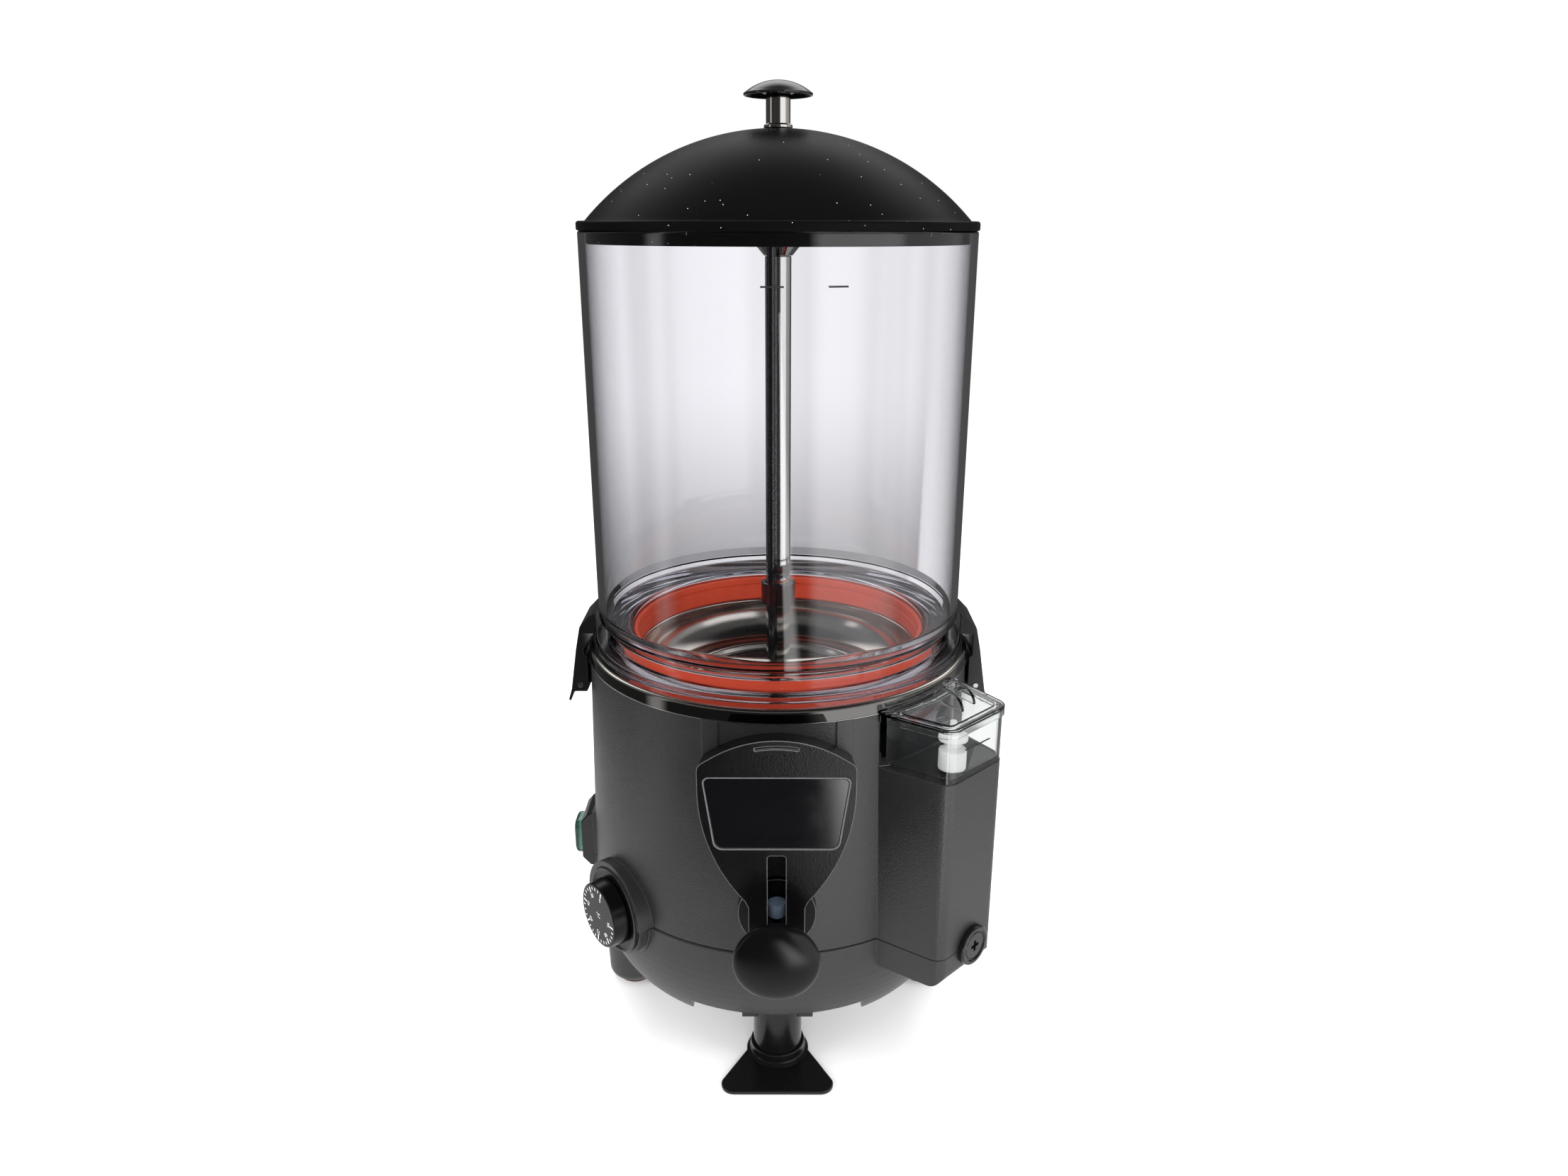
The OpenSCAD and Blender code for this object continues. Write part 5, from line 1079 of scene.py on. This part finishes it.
def makeLatch(side, name, node, body, pin, pinZ, back, hook, rimZ, w, lug, wall):
    def slab(title, outline, half, **more):
        return prism(title, [(side * x, z) for x, z in outline], -half, half, legPlastic, body, upright, **more)
    wing = slab(name, rounded([
        (pin + 8.2, pinZ - 10.7, 0.7), (pin + 5.9, pinZ - 3.1, 4), (pin + 1.7, rimZ - 4.2, 30),
        (pin - 1.3, hook + 4.7, 6), (wall + 4.2, hook + 11.5, 2.5), (wall, hook + 14, 0.5), (wall, hook, 0.4),
        (back + 2, hook, 0.3), (back + 2, rimZ - 8, 0.3), (back, rimZ - 9, 0.4), (back, pinZ - 2, 0.6),
        (back + 1.3, pinZ - 4.7, 0.8), (pin + 4.3, pinZ - 4.7, 1.2), (pin + 6.7, pinZ - 11.2, 0.6),
    ], 5), w / 2, bevel=0.7, bevelOver=60)
    inner, low, high = back - 6, pinZ - 20, pinZ + 12
    gap = slab("lugGap", [(inner, low), (pin, low), (pin, high), (inner, high)], lug / 2)
    barrel = slab("lugRound", circlePoints(pin, pinZ, 3.6, 24), lug / 2)
    hole = slab("pinHole", circlePoints(pin, pinZ, 1.65, 24), 30)
    settle(carve(wing, gap, barrel, hole), node)


makeLatch(-1, "leftLatchWing", "left_latch", "latch_left", **latchShape)
makeLatch(1, "rightLatchWing", "right_latch", "latch_right", **latchShape)
print("latches made")


# feet

footShape = {
    "legY": -77, "legR": 15.5, "plateT": 3, "plateFront": -117, "halfW": 35, "corner": 8, "socketR": 17.4,
    "socketH": 7, "pads": [(-102.6, 2), (102.6, 2), (0, 92)],
    "pad": [(0, 0), (11.9, 0, 1.7), (12.1, 2.6, 0.3), (6, 2.6), (6, 11.6, 0.5), (0, 11.6)],
}


def makeFoot(v):
    legY, legR, top, socketR, corner = (v[key] for key in ("legY", "legR", "plateT", "socketR", "corner"))
    heel = legR + 4.5
    side = arcPoints(v["halfW"] - corner, v["plateFront"] + corner, corner, -90, 15, 10)
    side += [(heel, legY - 3)] + arcPoints(0, legY, heel, 0, 90, 14)
    outline = side + [(-x, y) for x, y in side[-2::-1]]
    settle(prism("footPlate", outline, 0, top, legPlastic, "base", bevel=0.9, bevelOver=50), "foot_plate")
    collar = [(legR + 0.06, top - 0.4), (socketR + 3, top - 0.3, 0.2), (socketR + 0.2, top + 1.4, 1.6),
              (socketR - 0.1, top + v["socketH"], 0.9), (legR + 0.06, top + v["socketH"], 0.2)]
    settle(turned("footCollar", collar, legPlastic, "base", moveBy(0, legY, 0), count=96))
    for i, x in enumerate((12 - v["halfW"], v["halfW"] - 12)):
        circle = circlePoints(x, v["plateFront"] + 11, 2.3, 28)
        wire(f"plateRing{i + 1}", circle, 0.2, legPlastic, "base", moveBy(0, 0, top))
    for i, (x, y) in enumerate(v["pads"]):
        name, place = f"rubberFoot{i + 1}", moveBy(x, y, 0)
        pad = turned(name, v["pad"], footRubber, "base", place, count=72)
        settle(pad, *(["rubber_feet"] if i == 0 else []))


makeFoot(footShape)
print("feet made")


# floor

floorShape = {
    "half": 6, "glow": 0.14, "near": 0.8, "nearTo": 0.38, "farFrom": 0.6, "middleY": 0.15,
    "patch": 4.5, "patchLeft": (0.04, 0.07), "patchRight": (0.12, 0.2), "patchBack": (-0.42, -0.34),
}


def floorFinish(v):
    # pale to the camera; what mirrors it sees a near glow, the room's strips beyond and one bright patch
    fixed = {"Base Color": grey(0.92), "Roughness": 0.9, "Specular IOR Level": 0.1,
             "Emission Color": grey(1.0), "Emission Strength": v["glow"]}
    material, tree, shader = newMaterial("floorFinish", fixed)
    spot = newNode(tree, "SeparateXYZ", (newNode(tree, "TexCoord").outputs["Object"],)).outputs
    back = maths(tree, "SUBTRACT", spot["Y"], v["middleY"])
    squares = maths(tree, "ADD", maths(tree, "POWER", spot["X"], 2.0), maths(tree, "POWER", back, 2.0))
    near = eased(tree, maths(tree, "SQRT", squares), v["nearTo"], v["farFrom"], 1.0, 0.0)
    room = levels(tree, degreesAround(tree, spot["X"], spot["Y"]), studio["mirrored"])
    far = times(tree, room, maths(tree, "SUBTRACT", 1.0, near))
    level = maths(tree, "ADD", far, times(tree, near, v["near"]))
    strip = times(tree, eased(tree, spot["X"], *v["patchLeft"], 0.0, v["patch"]),
                  eased(tree, spot["X"], *v["patchRight"], 1.0, 0.0))
    patch = times(tree, strip, eased(tree, spot["Y"], *v["patchBack"], 1.0, 0.0))
    once = maths(tree, "MINIMUM", newNode(tree, "LightPath").outputs["Glossy Depth"], 1.0)
    seen = lit(tree, "Emission", maths(tree, "ADD", level, patch))
    mix = newNode(tree, "MixShader", (once, shader.outputs[0], seen)).outputs[0]
    feed(tree, tree.nodes["Material Output"], {"Surface": mix})
    return material


floorMesh = bpy.data.meshes.new("paleFloor")
half = floorShape["half"]
floorMesh.from_pydata([(-half, -half, 0), (half, -half, 0), (half, half, 0), (-half, half, 0)], [], [(0, 1, 2, 3)])
floorMesh.materials.append(floorFinish(floorShape))
floor = addObject("paleFloor", floorMesh)
floor.visible_transmission = False
